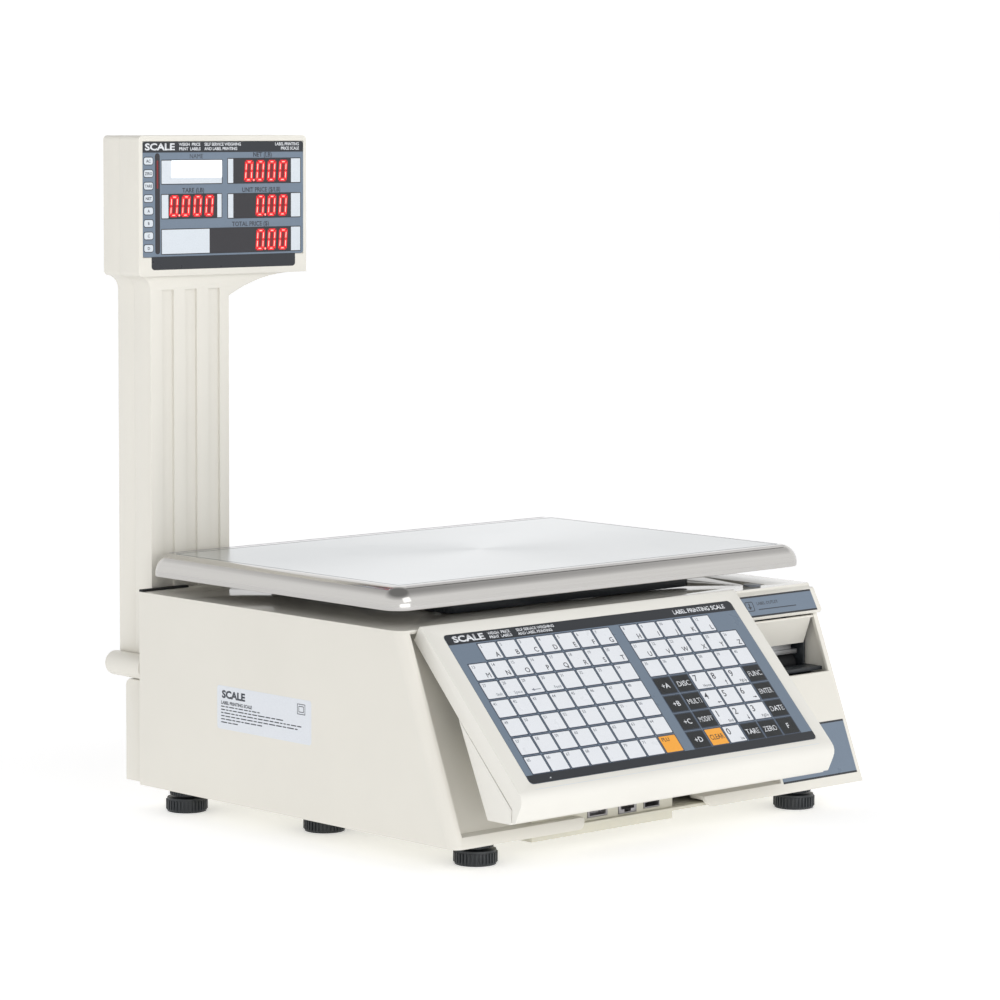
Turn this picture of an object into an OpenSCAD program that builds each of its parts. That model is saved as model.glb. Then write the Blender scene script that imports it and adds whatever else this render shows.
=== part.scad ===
// Label printing scale: a shop scale with a steel pan, a sloped keyboard,
// a display on a column and a label printer in the right side of its base.
// +X is the operator's right, +Y points to the back, +Z is up.
// The origin is on the table, under the middle of the whole machine.

/* [Base housing] */
// Width of the base housing
base_w = 382; // [380:1:386]
// Rear face of the base housing, behind the origin
base_rear = 161; // [160:0.5:162]
// Height of the deck above the table
deck_h = 149; // [148:0.5:150]
// Height of the underside of the housing above the table
underside_h = 16.7; // [16:0.1:17.5]
// Front edge of the deck
deck_front = -104.8; // [-105.5:0.1:-104]
// Front edge of the skirt at the underside
skirt_front = -157.5; // [-158.5:0.1:-156.5]
// Thickness of the moulded walls
wall = 2.5; // [2:0.1:3]
// Depth of the recess that the keyboard hangs in front of
recess_depth = 10; // [8:0.5:11]
// Width of the cheek beside the recess
cheek = 8.5; // [8:0.5:10]

/* [Weighing pan] */
// Width of the pan
pan_w = 380; // [370:1:381]
// Depth of the pan, front to back
pan_d = 254; // [246:1:255]
// Height of the top of the pan above the table
pan_top = 175.5; // [174.5:0.1:177]
// Depth of the pan's rolled skirt
pan_skirt = 14.8; // [13:0.1:15.5]
// Thickness of the pan's sheet steel
pan_sheet = 1.5; // [1:0.1:2]

/* [Keyboard] */
// Left side of the keyboard housing
keyboard_left = -177; // [-178:0.5:-176]
// Right side of the keyboard housing
keyboard_right = 110; // [108:0.5:110.5]
// Width of one key
key_w = 14.8; // [13:0.1:15.2]
// Length of one key down the slope
key_l = 12.5; // [11:0.1:13]
// Distance from one key to the next, sideways
key_pitch_w = 17; // [16.6:0.1:17]
// Distance from one key to the next, down the slope
key_pitch_l = 14.65; // [14.2:0.05:14.7]
// Travel of a key
key_travel = 0.4; // [0.2:0.1:0.5]

/* [Display column] */
// Left side of the column
column_left = -179; // [-180:0.5:-178]
// Width of the column
column_w = 68; // [64:1:70]
// Depth of the column, front to back
column_d = 36; // [34:1:37]
// Left side of the display head
head_left = -191; // [-191:0.5:-190]
// Width of the display head
head_w = 147; // [142:1:150]
// Underside of the display head above the table
head_low = 362; // [361:0.5:364]
// Top of the display head above the table
head_top = 456.5; // [455:0.5:460]

/* [Label printer] */
// Radius of the platen roller
platen_r = 8; // [7:0.5:8]
// Outer radius of a full label roll
roll_r = 40; // [30:1:42]
// Width of the labels and their liner
label_w = 58; // [40:1:58]

/* [Hidden] */
e = 0.01;
gap = 0.3;
run = 0.05;
base_x = base_w / 2;
slope = (skirt_front - deck_front) / (deck_h - underside_h);
slant = sqrt(1 + slope * slope);
corner_r = 8;
edge_r = 2;
recess_low = underside_h + 7;
recess_high = deck_h - wall;
recess_right = keyboard_right + gap;

// Keyboard housing: profile points as [y, z]
key_top = [-108.7, 152.2];
key_front = [-204.2, 53.3];
key_apron = [-197.2, 38.3];
key_foot = [-172.0, 36.5];
key_kink = [-146.0, 94.6];
key_brow = [-103.2, 142.2];
key_tilt = atan2(key_top[1] - key_front[1], key_top[0] - key_front[0]);
keyboard_wall = 2.5;

// Keypad overlay, as distances along X and down the slope
overlay_left = -163.6;
overlay_right = 98.8;
overlay_start = 9.8;
overlay_end = 126.8;
overlay_sheet = 0.8;
key_col_left = -157;
key_row_start = 19.4;
key_block_gap = 8.6;
key_cap = 1.5;
key_proud = 0.12;

// Moving keys: name, column, row
KEYS = [
    ["key_7", 10, 3], ["key_8", 11, 3], ["key_9", 12, 3],
    ["key_4", 10, 4], ["key_5", 11, 4], ["key_6", 12, 4],
    ["key_1", 10, 5], ["key_2", 11, 5], ["key_3", 12, 5],
    ["key_0", 10, 6], ["key_discount", 9, 3], ["key_multiply", 9, 4],
    ["key_modify", 9, 5], ["key_clear", 9, 6], ["key_tare", 11, 6],
    ["key_zero", 12, 6], ["key_function", 13, 3], ["key_enter", 13, 4],
    ["key_date", 13, 5]
];

// Feet: name, x, y
FEET = [
    ["foot_front_left", -149, -131], ["foot_front_right", 149, -131],
    ["foot_middle_left", -147, 18], ["foot_middle_right", 147, 18],
    ["foot_rear_left", -170, 135], ["foot_rear_right", 170, 135]
];
foot_pad_r = 14.2;
foot_pad_h = 9.5;
foot_stud_r = 5;
foot_nut_r = 11.6;
foot_stud_top = 31;
foot_nut_low = 11;
knurls = 36;

// Chassis
plate_low = underside_h + 0.3;
plate_t = 2;
plate_top = plate_low + plate_t;
plate_x = base_x - wall - 0.5;
plate_front = -151.5;
plate_rear = base_rear - wall - 0.5;
port_left = -115;
port_right = 13;
port_front = -147;
port_rear = -118;
port_low = 11;
port_top = 37;

// Case screws: x, y and where the rib of each boss meets the wall
screw_r = 1.5;
SCREWS = [
    [-180, -120, -base_x + 2, -120], [-180, -30, -base_x + 2, -30], [-180, 80, -base_x + 2, 80],
    [-60, 150, -60, base_rear - 2], [20, 150, 20, base_rear - 2],
    [180, -120, base_x - 2, -120], [180, 90, base_x - 2, 90]
];

// Weighing parts, centred under the pan
pan_y = 25.5;
pan_corner = 14;
pan_roll_w = 8.5;
pan_roll_h = 12.5;
post_x = 85;
post_y = 65;
post_r = 8;
cell_l = 140;
cell_d = 32;
cell_h = 24;
cell_low = 52;
cell_top = cell_low + cell_h;
support_w = 226;
support_d = 185;
support_low = deck_h + 0.6;
support_top = pan_top - pan_sheet - 2;

// Column
column_front_y = base_rear;
column_rear_y = base_rear + column_d;
column_split = base_rear + 18;
column_right = column_left + column_w;
column_low = 103;
groove_w = 10;
groove_pitch = 20;
groove_depth = 2;
groove_top = 352.6;
head_front_y = base_rear - 3;
head_right = head_left + head_w;
window_low = head_low + 13;
window_top = head_top - 4;
knob_x = -182.5;
knob_z = 96;
knob_r = 8.5;

// Rear panel box
rear_top = 87;
rear_depth = 22;
rear = base_rear + rear_depth;
switch_in = 3;
switch_tilt = 8;
rear_x = 185;
inlet_x = 120;
inlet_z = 52;
switch_x = 92;

// Printer: gears and shafts
printer_left = 112;
level_x = 147.5;
level_y = deck_front + 14;
level_r = 5;
pivot_y = -66;
pivot_z = 113;
platen_y = -92;
platen_z = 92;
frame_x = 116;
frame_t = 2;
bearing_x = 184;
gear_x = 110;
gear_w = 4.5;
gear_module = 1;
platen_teeth = 24;
pinion_teeth = 12;
gear_distance = gear_module * (platen_teeth + pinion_teeth) / 2;
motor_y = platen_y + gear_distance;
roll_y = 12;
roll_z = 78;
spool_y = -52;
spool_z = 46;
spindle_r = 10;
label_x = 121;
door_low = 30;
door_high = 136;
door_front = -100;
door_rear = 62;
door_t = 2.5;
door_pin_r = 0.8;
door_pin_x = base_x - door_t / 2;
door_pin_y = door_rear - door_t / 2 - gap;
flap_top = [-112.3, deck_h - 22.2];
flap_bottom = [-105.6, 108];
flap_pin_r = 1;

FIXED = [
    "housing_cover", "chassis_plate", "rear_panel",
    "keyboard_bezel", "keyboard_tray", "keypad_overlay", "keypad_board",
    "data_ports", "main_board", "power_supply", "power_inlet", "power_switch",
    "load_cell", "load_spider", "pan_support", "support_pads", "weighing_pan",
    "spirit_level", "foot_lock_nuts", "column_front", "column_back",
    "column_knob", "display_window", "customer_window", "display_board",
    "printer_door", "paper_flap", "printer_frame", "platen_roller",
    "printer_motor", "motor_pinion", "print_head", "label_roll",
    "liner_spool", "case_screws"
];
$fn = 48;

// ---- Shared shapes ----

function unit(v) = v / norm(v);

// Points of an arc, from angle a0 to angle a1
function arc(c, r, a0, a1, n = 6) =
    [for (i = [0:n]) c + r * [cos(a0 + (a1 - a0) * i / n), sin(a0 + (a1 - a0) * i / n)]];

// Outline of a rectangle with rounded corners
function rounded(lo, hi, r, n = 6) = concat(
    arc([hi[0] - r, lo[1] + r], r, -90, 0, n),
    arc([hi[0] - r, hi[1] - r], r, 0, 90, n),
    arc([lo[0] + r, hi[1] - r], r, 90, 180, n),
    arc([lo[0] + r, lo[1] + r], r, 180, 270, n));

// The corner at b eased into a curve that starts and ends a distance d from it
function eased(a, b, c, d) =
    let (p = b + d * unit(a - b), q = b + d * unit(c - b))
    [for (t = [0:0.25:1]) p * pow(1 - t, 2) + b * (2 * t * (1 - t)) + q * pow(t, 2)];

// An anticlockwise outline moved inwards by w
function inset(p, w) = [
    for (i = [0:len(p) - 1])
        let (a = p[(i + len(p) - 1) % len(p)], b = p[i], c = p[(i + 1) % len(p)],
             u = unit(b - a), v = unit(c - b),
             nu = [-u[1], u[0]], nv = [-v[1], v[0]])
        b + (nu + nv) * w / (1 + nu * nv)];

// A box between two opposite corners
module block(lo, hi) {
    translate(lo)
        cube(hi - lo);
}

// A drawing of [y, z] points, drawn out along X
module along_x(x0, x1) {
    translate([x0, 0, 0])
        rotate([90, 0, 90])
            linear_extrude(x1 - x0)
                children();
}

// A drawing of [x, z] points, drawn out along Y
module along_y(y0, y1) {
    translate([0, y1, 0])
        rotate([90, 0, 0])
            linear_extrude(y1 - y0)
                children();
}

module rod_x(x0, x1, y, z, r) {
    translate([x0, y, z])
        rotate([0, 90, 0])
            cylinder(r = r, h = x1 - x0);
}

module rod_y(y0, y1, x, z, r) {
    translate([x, y0, z])
        rotate([-90, 0, 0])
            cylinder(r = r, h = y1 - y0);
}

// The keyboard's sloped face: X across, Y down the slope as a negative, Z outwards
module on_slope() {
    translate([0, key_top[0], key_top[1]])
        rotate([key_tilt, 0, 0])
            children();
}

// A box on the slope, from s0 to s1 down it and from u0 to u1 outwards
module slope_block(x0, x1, s0, s1, u0, u1) {
    on_slope()
        block([x0, -s1, u0], [x1, -s0, u1]);
}

// Front face of the housing at a height, moved inwards by t
function front_y(z, t = 0) = deck_front + slope * (deck_h - z) + t * slant;

// The slanted strip behind the front face, between two heights and two depths
module front_strip(z0, z1, t0, t1) {
    polygon([
        [front_y(z0, t0), z0], [front_y(z0, t1), z0],
        [front_y(z1, t1), z1], [front_y(z1, t0), z1]]);
}

// What is cut from an upright edge at the origin to round it
module round_cut(r, h) {
    linear_extrude(h)
        polygon(concat([[-1, -1], [r, -1]], arc([r, r], r, 270, 180, 8), [[-1, r]]));
}

// A spur gear along +X, with straight-sided teeth
module gear(teeth, width, turn) {
    pitch_r = gear_module * teeth / 2;
    root_r = pitch_r - 1.25 * gear_module;
    tip_r = pitch_r + 0.8 * gear_module;
    root_half = 0.95 * gear_module;
    tip_half = 0.32 * gear_module;
    rotate([90, 0, 90])
        linear_extrude(width)
            union() {
                circle(r = root_r);
                for (i = [0:teeth - 1])
                    rotate(turn + i * 360 / teeth)
                        polygon([
                            [root_r - 0.4, -root_half], [tip_r, -tip_half],
                            [tip_r, tip_half], [root_r - 0.4, root_half]]);
            }
}

// Places of a key
function key_x(col) = key_col_left + col * key_pitch_w + (col >= 8 ? key_block_gap : 0);
function key_s(row) = key_row_start + row * key_pitch_l;
function moves(col, row) = len([for (k = KEYS) if (k[1] == col && k[2] == row) 1]) > 0;

// Whether a place in the 14 by 7 grid holds a key
function has_key(col, row) =
    row == 0 ? (col >= 1 && col <= 12) : true;

// ---- Base ----

base_profile = [
    [base_rear, underside_h], [base_rear, deck_h],
    [deck_front, deck_h], [skirt_front, underside_h]];

// Forward lip over the label outlet
nose_profile = [
    [deck_front + 2, deck_h], [deck_front - 4, deck_h - 3.5],
    [deck_front - 11.8, deck_h - 17.4], [deck_front - 10.2, deck_h - 19.7],
    [front_y(deck_h - 19.7, 1), deck_h - 19.7], [deck_front + 2, deck_h - 6]];

// What is cut from the upright edges of the housing, t inside its faces
module corner_cuts(t) {
    lean = -atan2(deck_front - skirt_front, deck_h - underside_h);
    for (side = [0, 1])
        mirror([side, 0, 0]) {
            translate([t - base_x, skirt_front + t * slant - 0.2, underside_h])
                rotate([lean, 0, 0])
                    translate([0, 0, -10])
                        round_cut(side == 0 ? corner_r - t : edge_r, 170);
            translate([t - base_x, base_rear - t, underside_h - 10])
                mirror([0, 1, 0])
                    round_cut(edge_r, 170);
        }
}

// Bosses for the case screws, each with a rib to the nearest wall
module screw_bosses() {
    top = plate_top + 20;
    for (s = SCREWS)
        difference() {
            union() {
                translate([s[0], s[1], plate_top + 0.1])
                    cylinder(r = 4, h = top - plate_top);
                block([min(s[0], s[2]) - 1, min(s[1], s[3]) - 1, plate_top + 0.1],
                      [max(s[0], s[2]) + 1, max(s[1], s[3]) + 1, top]);
            }
            translate([s[0], s[1], plate_low])
                cylinder(r = screw_r + run, h = 14);
        }
}

module housing_cover() {
    inner = inset(base_profile, wall);
    color([0.89, 0.87, 0.83])
        difference() {
            union() {
                along_x(-base_x, base_x)
                    polygon(base_profile);
                along_x(printer_left, base_x)
                    polygon(nose_profile);
            }
            corner_cuts(0);
            // Recess behind the keyboard
            along_x(-base_x + cheek, recess_right)
                front_strip(recess_low, recess_high, -5, recess_depth);
            // Relief in the deck's edge for the keyboard's brow
            along_x(-base_x + cheek, recess_right)
                polygon([
                    [key_brow[0] - 8, recess_high + 1.3], [key_brow[0] - 2, recess_high + 1.3],
                    [key_brow[0] - 1, recess_high - 1], [key_brow[0] - 8, recess_high - 1]]);
            // Hollow inside, open below
            difference() {
                along_x(-base_x + wall, base_x - wall)
                    polygon([inner[0] - [0, 5], inner[1], inner[2], inner[3] + [slope * 5, -5]]);
                corner_cuts(wall);
                along_x(-base_x + cheek - wall, recess_right + wall)
                    front_strip(recess_low - wall, recess_high + wall, -5, recess_depth + wall);
                screw_bosses();
            }
            // Way through the front skirt for the data plugs
            along_y(skirt_front - 5, port_rear)
                polygon(concat(
                    [[port_left + 32, underside_h - 4], [port_right + 29, underside_h - 4]],
                    arc([port_right + 29, underside_h + 7], 7, 270, 180),
                    [[port_right + 22, underside_h + 11], [port_left + 39, underside_h + 11]],
                    arc([port_left + 32, underside_h + 7], 7, 0, -90)));
            // Room for the port box in the recess wall
            block([port_left - 1, port_front - 2, port_low], [port_right + 1, port_rear + 2, port_top + 1]);
            // Holes in the deck for the pan's four posts
            for (x = [-post_x, post_x], y = [-post_y, post_y])
                translate([x, pan_y + y, deck_h - 10])
                    cylinder(r = post_r + 5, h = 20);
            // Spirit level's seat
            translate([level_x, level_y, deck_h - 10])
                cylinder(r = level_r, h = 20);
            // Label outlet under the lip
            block([printer_left + 4, skirt_front, 90], [base_x - 5, -88, deck_h - 19.7]);
            // Seat of the baffle's hinge pins
            rod_x(printer_left + 1, base_x - 2, flap_top[0], flap_top[1], flap_pin_r + run);
            // Printer door in the right side, and the holes for its pins
            block([base_x - 10, door_front, door_low], [base_x + 5, door_rear, door_high]);
            translate([door_pin_x, door_pin_y, door_low - 4])
                cylinder(r = door_pin_r + run, h = door_high - door_low + 8);
            // Cable way to the column and opening to the rear panel
            rod_y(base_rear - 10, base_rear + 5, column_left + column_w / 2, 125, 12);
            block([40, base_rear - 10, 24], [150, base_rear + 5, 80]);
            // Seat of the column knob
            rod_y(base_rear - 10, base_rear + 5, knob_x, knob_z, 3 + run);
        }
}

module chassis_plate() {
    color([0.80, 0.79, 0.74])
        difference() {
            union() {
                translate([0, 0, plate_low])
                    linear_extrude(plate_t)
                        polygon([
                            [plate_x, plate_rear - 1], [plate_x - 1, plate_rear],
                            [1 - plate_x, plate_rear], [-plate_x, plate_rear - 1],
                            [-plate_x, plate_front + 6], [6 - plate_x, plate_front],
                            [plate_x - 6, plate_front], [plate_x, plate_front + 6]]);
                block([port_left, port_front, port_low], [port_right, port_rear, port_top]);
                // Pedestal under the fixed end of the load cell
                block([-cell_l / 2, pan_y - cell_d / 2, plate_top - e],
                      [-cell_l / 2 + 36, pan_y + cell_d / 2, cell_low]);
                // Bosses round the foot studs
                for (f = FEET)
                    translate([f[1], f[2], plate_low])
                        cylinder(r = 7, h = 12);
            }
            // Port box, hollow and open to the back above the plate
            block([port_left + 2, port_front + 2, port_low + 2],
                  [port_right - 2, port_rear - 2, port_top - 2]);
            block([port_left + 2, port_rear - 3, plate_top],
                  [port_right - 2, port_rear + 1, port_top - 2]);
            for (f = FEET)
                translate([f[1], f[2], 0])
                    cylinder(r = foot_stud_r + run, h = 60);
            for (s = SCREWS)
                translate([s[0], s[1], 0])
                    cylinder(r = screw_r + run, h = 60);
            // Windows for the three sockets: serial, network and USB
            for (w = port_windows)
                block([w[0] - w[1] / 2, port_front - 1, w[2]],
                      [w[0] + w[1] / 2, port_front + 3, w[2] + w[3]]);
        }
}

// Sockets: centre x, width, low z, height
port_windows = [[-56.4, 18.5, 20.5, 10], [-29, 17, 19.5, 14], [-6.5, 15, 20.5, 7.5]];

module data_ports() {
    serial = port_windows[0];
    network = port_windows[1];
    usb = port_windows[2];
    face = port_front - 0.4;
    color([0.10, 0.36, 0.22])
        block([port_left + 12, port_front + 3, 17.3], [port_right - 4, port_rear - 2.5, 18.9]);
    color("silver") {
        // Serial socket with nine pins
        difference() {
            block([serial[0] - 9, face, 20.8], [serial[0] + 9, face + 14, 30.2]);
            along_y(face - 1, face + 7)
                polygon([
                    [serial[0] - 7.2, 21.8], [serial[0] + 7.2, 21.8],
                    [serial[0] + 8.2, 29.2], [serial[0] - 8.2, 29.2]]);
        }
        for (i = [0:8])
            rod_y(face + 1.5, face + 7.5,
                  serial[0] + (i % 5 - (i < 5 ? 2 : 1.5)) * 2.7, i < 5 ? 27 : 24.2, 0.5);
        // Network socket
        difference() {
            block([network[0] - 8.2, face, 19.8], [network[0] + 8.2, face + 16, 33.2]);
            block([network[0] - 6, face - 1, 22.5], [network[0] + 6, face + 13, 31]);
            block([network[0] - 3, face - 1, 20.6], [network[0] + 3, face + 13, 23]);
        }
        // USB socket with its tongue
        difference() {
            block([usb[0] - 7.2, face, 20.8], [usb[0] + 7.2, face + 14, 27.7]);
            difference() {
                block([usb[0] - 6.5, face - 1, 21.5], [usb[0] + 6.5, face + 11, 27]);
                block([usb[0] - 5.6, face + 1.5, 25], [usb[0] + 5.6, face + 11.5, 26.6]);
            }
        }
    }
}

module rear_panel() {
    color([0.90, 0.90, 0.89])
        difference() {
            along_x(-rear_x, rear_x)
                polygon(concat(
                    [[base_rear + 0.1, underside_h], [base_rear + rear_depth, underside_h]],
                    arc([base_rear + rear_depth - 5, rear_top - 5], 5, 0, 90),
                    [[base_rear + 0.1, rear_top]]));
            block([-rear_x + wall, base_rear - 1, underside_h + wall],
                  [rear_x - wall, base_rear + rear_depth - wall, rear_top - wall]);
            block([switch_x - 10.2, base_rear + 5, inlet_z - 13.2],
                  [inlet_x + 14.2, base_rear + 50, inlet_z + 13.2]);
        }
}

// Power inlet and the housing of the rocker switch, in one moulding
module power_inlet() {
    color([0.10, 0.10, 0.11])
        difference() {
            union() {
                block([switch_x - 13, rear, inlet_z - 16], [inlet_x + 17, rear + 2, inlet_z + 16]);
                block([switch_x - 10, rear - 18, inlet_z - 13], [inlet_x + 14, rear + 1, inlet_z + 13]);
            }
            block([switch_x - 7.3, rear - 12, inlet_z - 12], [switch_x + 7.3, rear + 5, inlet_z + 12]);
            rod_x(switch_x - 9, switch_x + 9, rear - switch_in, inlet_z, 1 + run);
            along_y(rear - 15, rear + 5)
                polygon([
                    [inlet_x - 12.2, inlet_z - 8], [inlet_x + 12.2, inlet_z - 8],
                    [inlet_x + 12.2, inlet_z + 4], [inlet_x + 8.2, inlet_z + 8],
                    [inlet_x - 8.2, inlet_z + 8], [inlet_x - 12.2, inlet_z + 4]]);
        }
    color("silver")
        for (p = [[-7, 0], [7, 0], [0, 4]])
            block([inlet_x + p[0] - 1, rear - 15 - e, inlet_z + p[1] - 2],
                  [inlet_x + p[0] + 1, rear - 2, inlet_z + p[1] + 2]);
}

// Rocker on its two pins, tipped to its off position
module power_switch() {
    color([0.12, 0.12, 0.13])
        translate([switch_x, rear - switch_in, inlet_z])
            rotate([-switch_tilt, 0, 0]) {
                along_x(-7, 7)
                    polygon([
                        [-4, -5], [-1, -10.2], [4.4, -10.2], [3.4, -5], [2.6, 0],
                        [3.4, 5], [4.4, 10.2], [-1, 10.2], [-4, 5]]);
                rod_x(-8.7, 8.7, 0, 0, 1);
            }
}

module main_board() {
    y0 = 66;
    y1 = 145;
    color([0.08, 0.34, 0.20])
        block([-70, y0, 27], [95, y1, 28.6]);
    color([0.2, 0.2, 0.22]) {
        block([-10, y0 + 28, 28.6], [18, y0 + 56, 31]);
        block([40, y0 + 15, 28.6], [58, y0 + 33, 30.5]);
        for (i = [0:3])
            translate([-50 + i * 13, y1 - 14, 28.6])
                cylinder(r = 4, h = 12);
        block([60, y1 - 16, 28.6], [88, y1 - 6, 40]);
    }
    color("silver")
        for (x = [-66, 91], y = [y0 + 4, y1 - 4])
            translate([x, y, plate_top])
                cylinder(r = 3, h = 27 - plate_top);
}

module power_supply() {
    color([0.72, 0.73, 0.74])
        difference() {
            block([-168, 42, plate_top], [-88, 118, plate_top + 34]);
            for (i = [0:9])
                block([-160 + i * 7, 60, plate_top + 30], [-157 + i * 7, 100, plate_top + 40]);
        }
}

// ---- Load cell and pan ----

module load_cell() {
    color([0.80, 0.81, 0.82])
        difference() {
            block([-cell_l / 2, pan_y - cell_d / 2, cell_low], [cell_l / 2, pan_y + cell_d / 2, cell_top]);
            // Two joined bores that thin the bar into a parallel spring
            for (x = [-13, 13])
                rod_y(pan_y - cell_d, pan_y + cell_d, x, cell_low + cell_h / 2, 9);
            block([-13, pan_y - cell_d, cell_low + cell_h / 2 - 3],
                  [13, pan_y + cell_d, cell_low + cell_h / 2 + 3]);
        }
}

// Cast cross on the free end of the load cell, with four posts up through the deck
module load_spider() {
    low = cell_top + 6;
    color([0.66, 0.67, 0.68]) {
        block([cell_l / 2 - 36, pan_y - cell_d / 2, cell_top], [cell_l / 2, pan_y + cell_d / 2, low + 1]);
        block([-post_x - 10, pan_y - 14, low], [post_x + 10, pan_y + 14, low + 10]);
        for (x = [-post_x, post_x]) {
            block([x - 10, pan_y - post_y - 10, low], [x + 10, pan_y + post_y + 10, low + 10]);
            for (y = [-post_y, post_y])
                translate([x, pan_y + y, low + 9])
                    cylinder(r = post_r, h = support_top - 2 - low - 9);
        }
    }
}

module pan_support() {
    color([0.16, 0.18, 0.19])
        difference() {
            translate([0, pan_y, support_low])
                linear_extrude(support_top - support_low)
                    polygon(rounded([-support_w / 2, -support_d / 2], [support_w / 2, support_d / 2], 8));
            translate([0, pan_y, support_low - 1])
                linear_extrude(support_top - support_low - 1)
                    polygon(rounded([2 - support_w / 2, 2 - support_d / 2],
                                    [support_w / 2 - 2, support_d / 2 - 2], 6));
        }
}

module support_pads() {
    color([0.08, 0.08, 0.08])
        for (x = [-post_x, post_x], y = [-post_y, post_y])
            translate([x, pan_y + y, support_top])
                cylinder(r = 9, h = pan_top - pan_sheet - support_top - 2 * e);
}

// Rounded plate of the pan, t inside its outline and at a depth below its top
module pan_layer(t, depth) {
    translate([0, pan_y, pan_top - depth - e])
        linear_extrude(e)
            polygon(rounded([t - pan_w / 2, t - pan_d / 2],
                            [pan_w / 2 - t, pan_d / 2 - t], pan_corner - t, 5));
}

// Solid block of the pan's outline with rounded upper edges, t inside the sheet
module pan_block(t, depth) {
    w = pan_roll_w - t;
    h = pan_roll_h - t;
    hull() {
        for (a = [0:15:90])
            pan_layer(t + w * (1 - sin(a)), t + h * (1 - cos(a)));
        pan_layer(t, depth);
    }
}

module weighing_pan() {
    color([0.78, 0.79, 0.80])
        difference() {
            pan_block(0, pan_skirt - e);
            translate([0, 0, -e])
                pan_block(pan_sheet, pan_skirt + 2);
        }
}

module spirit_level() {
    color([0.80, 0.86, 0.55])
        translate([level_x, level_y, 0]) {
            translate([0, 0, deck_h - 8])
                cylinder(r = level_r - 0.1, h = 8.5);
            translate([0, 0, deck_h])
                cylinder(r = level_r + 1.2, h = 0.8);
        }
}

// ---- Keyboard ----

bezel_profile = [
    key_top, key_front, key_apron, key_apron + [3.2, 0],
    [key_front[0] + 10.2, key_front[1] - 6.9], [key_kink[0] + 1.2, key_kink[1] + 3], key_brow];
bezel_outline = concat(
    eased(bezel_profile[6], key_top, key_front, 2), eased(key_top, key_front, key_apron, 6),
    [for (i = [2:6]) bezel_profile[i]]);
tray_profile = [
    [key_kink[0] + 1, key_kink[1] + 2.4], [key_front[0] + 10.6, key_front[1] - 7.6],
    [key_front[0] + 11.2, key_foot[1]], key_foot, key_kink];

neck_low = 58;
neck_high = 84;

// Back of the keyboard tray at a height
function tray_y(z) = key_foot[0]
    + (key_kink[0] - key_foot[0]) * (z - key_foot[1]) / (key_kink[1] - key_foot[1]);

module keyboard_bezel() {
    inner = inset(bezel_profile, keyboard_wall);
    color([0.94, 0.935, 0.91])
        difference() {
            along_x(keyboard_left, keyboard_right)
                polygon(bezel_outline);
            along_x(keyboard_left + keyboard_wall, keyboard_right - keyboard_wall)
                polygon([
                    inner[0], inner[1], inner[2] + [1, 3], bezel_profile[3] + [4, 4],
                    bezel_profile[4] + [2, -1], bezel_profile[5] + [4, -3], bezel_profile[6] + [2, -2]]);
            // Seat of the overlay and the window behind it
            on_slope()
                translate([0, 0, -overlay_sheet - 0.1])
                    linear_extrude(5)
                        polygon(rounded([overlay_left - 0.2, -overlay_end - 0.2],
                                        [overlay_right + 0.2, 0.2 - overlay_start], 3, 4));
            slope_block(overlay_left + 2.5, overlay_right - 2.5,
                        overlay_start + 2.5, overlay_end - 2.5, -20, 5);
        }
}

module keyboard_tray() {
    inner = inset(tray_profile, keyboard_wall);
    color([0.93, 0.925, 0.90])
        difference() {
            along_x(keyboard_left, keyboard_right)
                polygon(tray_profile);
            along_x(keyboard_left + keyboard_wall, keyboard_right - keyboard_wall)
                polygon([
                    inner[0] + [-6, 6], inner[1] + [-6, 6], inner[1] + [0.6, -2], inner[2], inner[3],
                    inner[4], inner[4] + [2, 6]]);
        }
    // Two necks that carry the keyboard off the wall of the recess
    color([0.93, 0.925, 0.90])
        for (x = [-130, 20])
            along_x(x, x + 50)
                polygon([
                    [tray_y(neck_low) - 1, neck_low],
                    [front_y(neck_low, recess_depth) - 0.1, neck_low],
                    [front_y(neck_high, recess_depth) - 0.1, neck_high],
                    [tray_y(neck_high) - 1, neck_high]]);
}

// Printed sheet over the keys, with a raised patch for each fixed key
module keypad_overlay() {
    color([0.45, 0.52, 0.59])
        on_slope() {
            difference() {
                translate([0, 0, -overlay_sheet])
                    linear_extrude(overlay_sheet)
                        polygon(rounded([overlay_left, -overlay_end],
                                        [overlay_right, -overlay_start], 3, 4));
                for (k = KEYS)
                    translate([key_x(k[1]) - 0.2, -key_s(k[2]) - key_l - 0.2, -5])
                        cube([key_w + 0.4, key_l + 0.4, 10]);
            }
            for (col = [0:13], row = [0:6])
                if (has_key(col, row) && !moves(col, row))
                    translate([key_x(col), -key_s(row) - key_l, 0])
                        cube([key_w, key_l, key_proud]);
        }
}

// One moving key, held under the overlay's face
module key(col, row) {
    color(col == 9 && row == 6 ? [0.98, 0.69, 0.24]
          : col < 10 || col > 12 || (row == 6 && col > 10) ? [0.15, 0.17, 0.19] : [0.93, 0.94, 0.96])
        on_slope()
            translate([key_x(col), -key_s(row) - key_l, key_proud - key_cap])
                cube([key_w, key_l, key_cap]);
}

// Circuit board behind the keys, with the rubber dome sheet on it
module keypad_board() {
    dome_top = key_proud - key_cap - key_travel - 0.1;
    color([0.08, 0.34, 0.20])
        slope_block(overlay_left - 4, overlay_right + 4, 8, overlay_end + 1,
                    -keyboard_wall - 1.8, -keyboard_wall - 0.2);
    color([0.25, 0.26, 0.28])
        slope_block(overlay_left + 4, overlay_right - 4, overlay_start + 4, overlay_end - 4,
                    -keyboard_wall - 0.2, dome_top);
}

// ---- Feet ----

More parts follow.
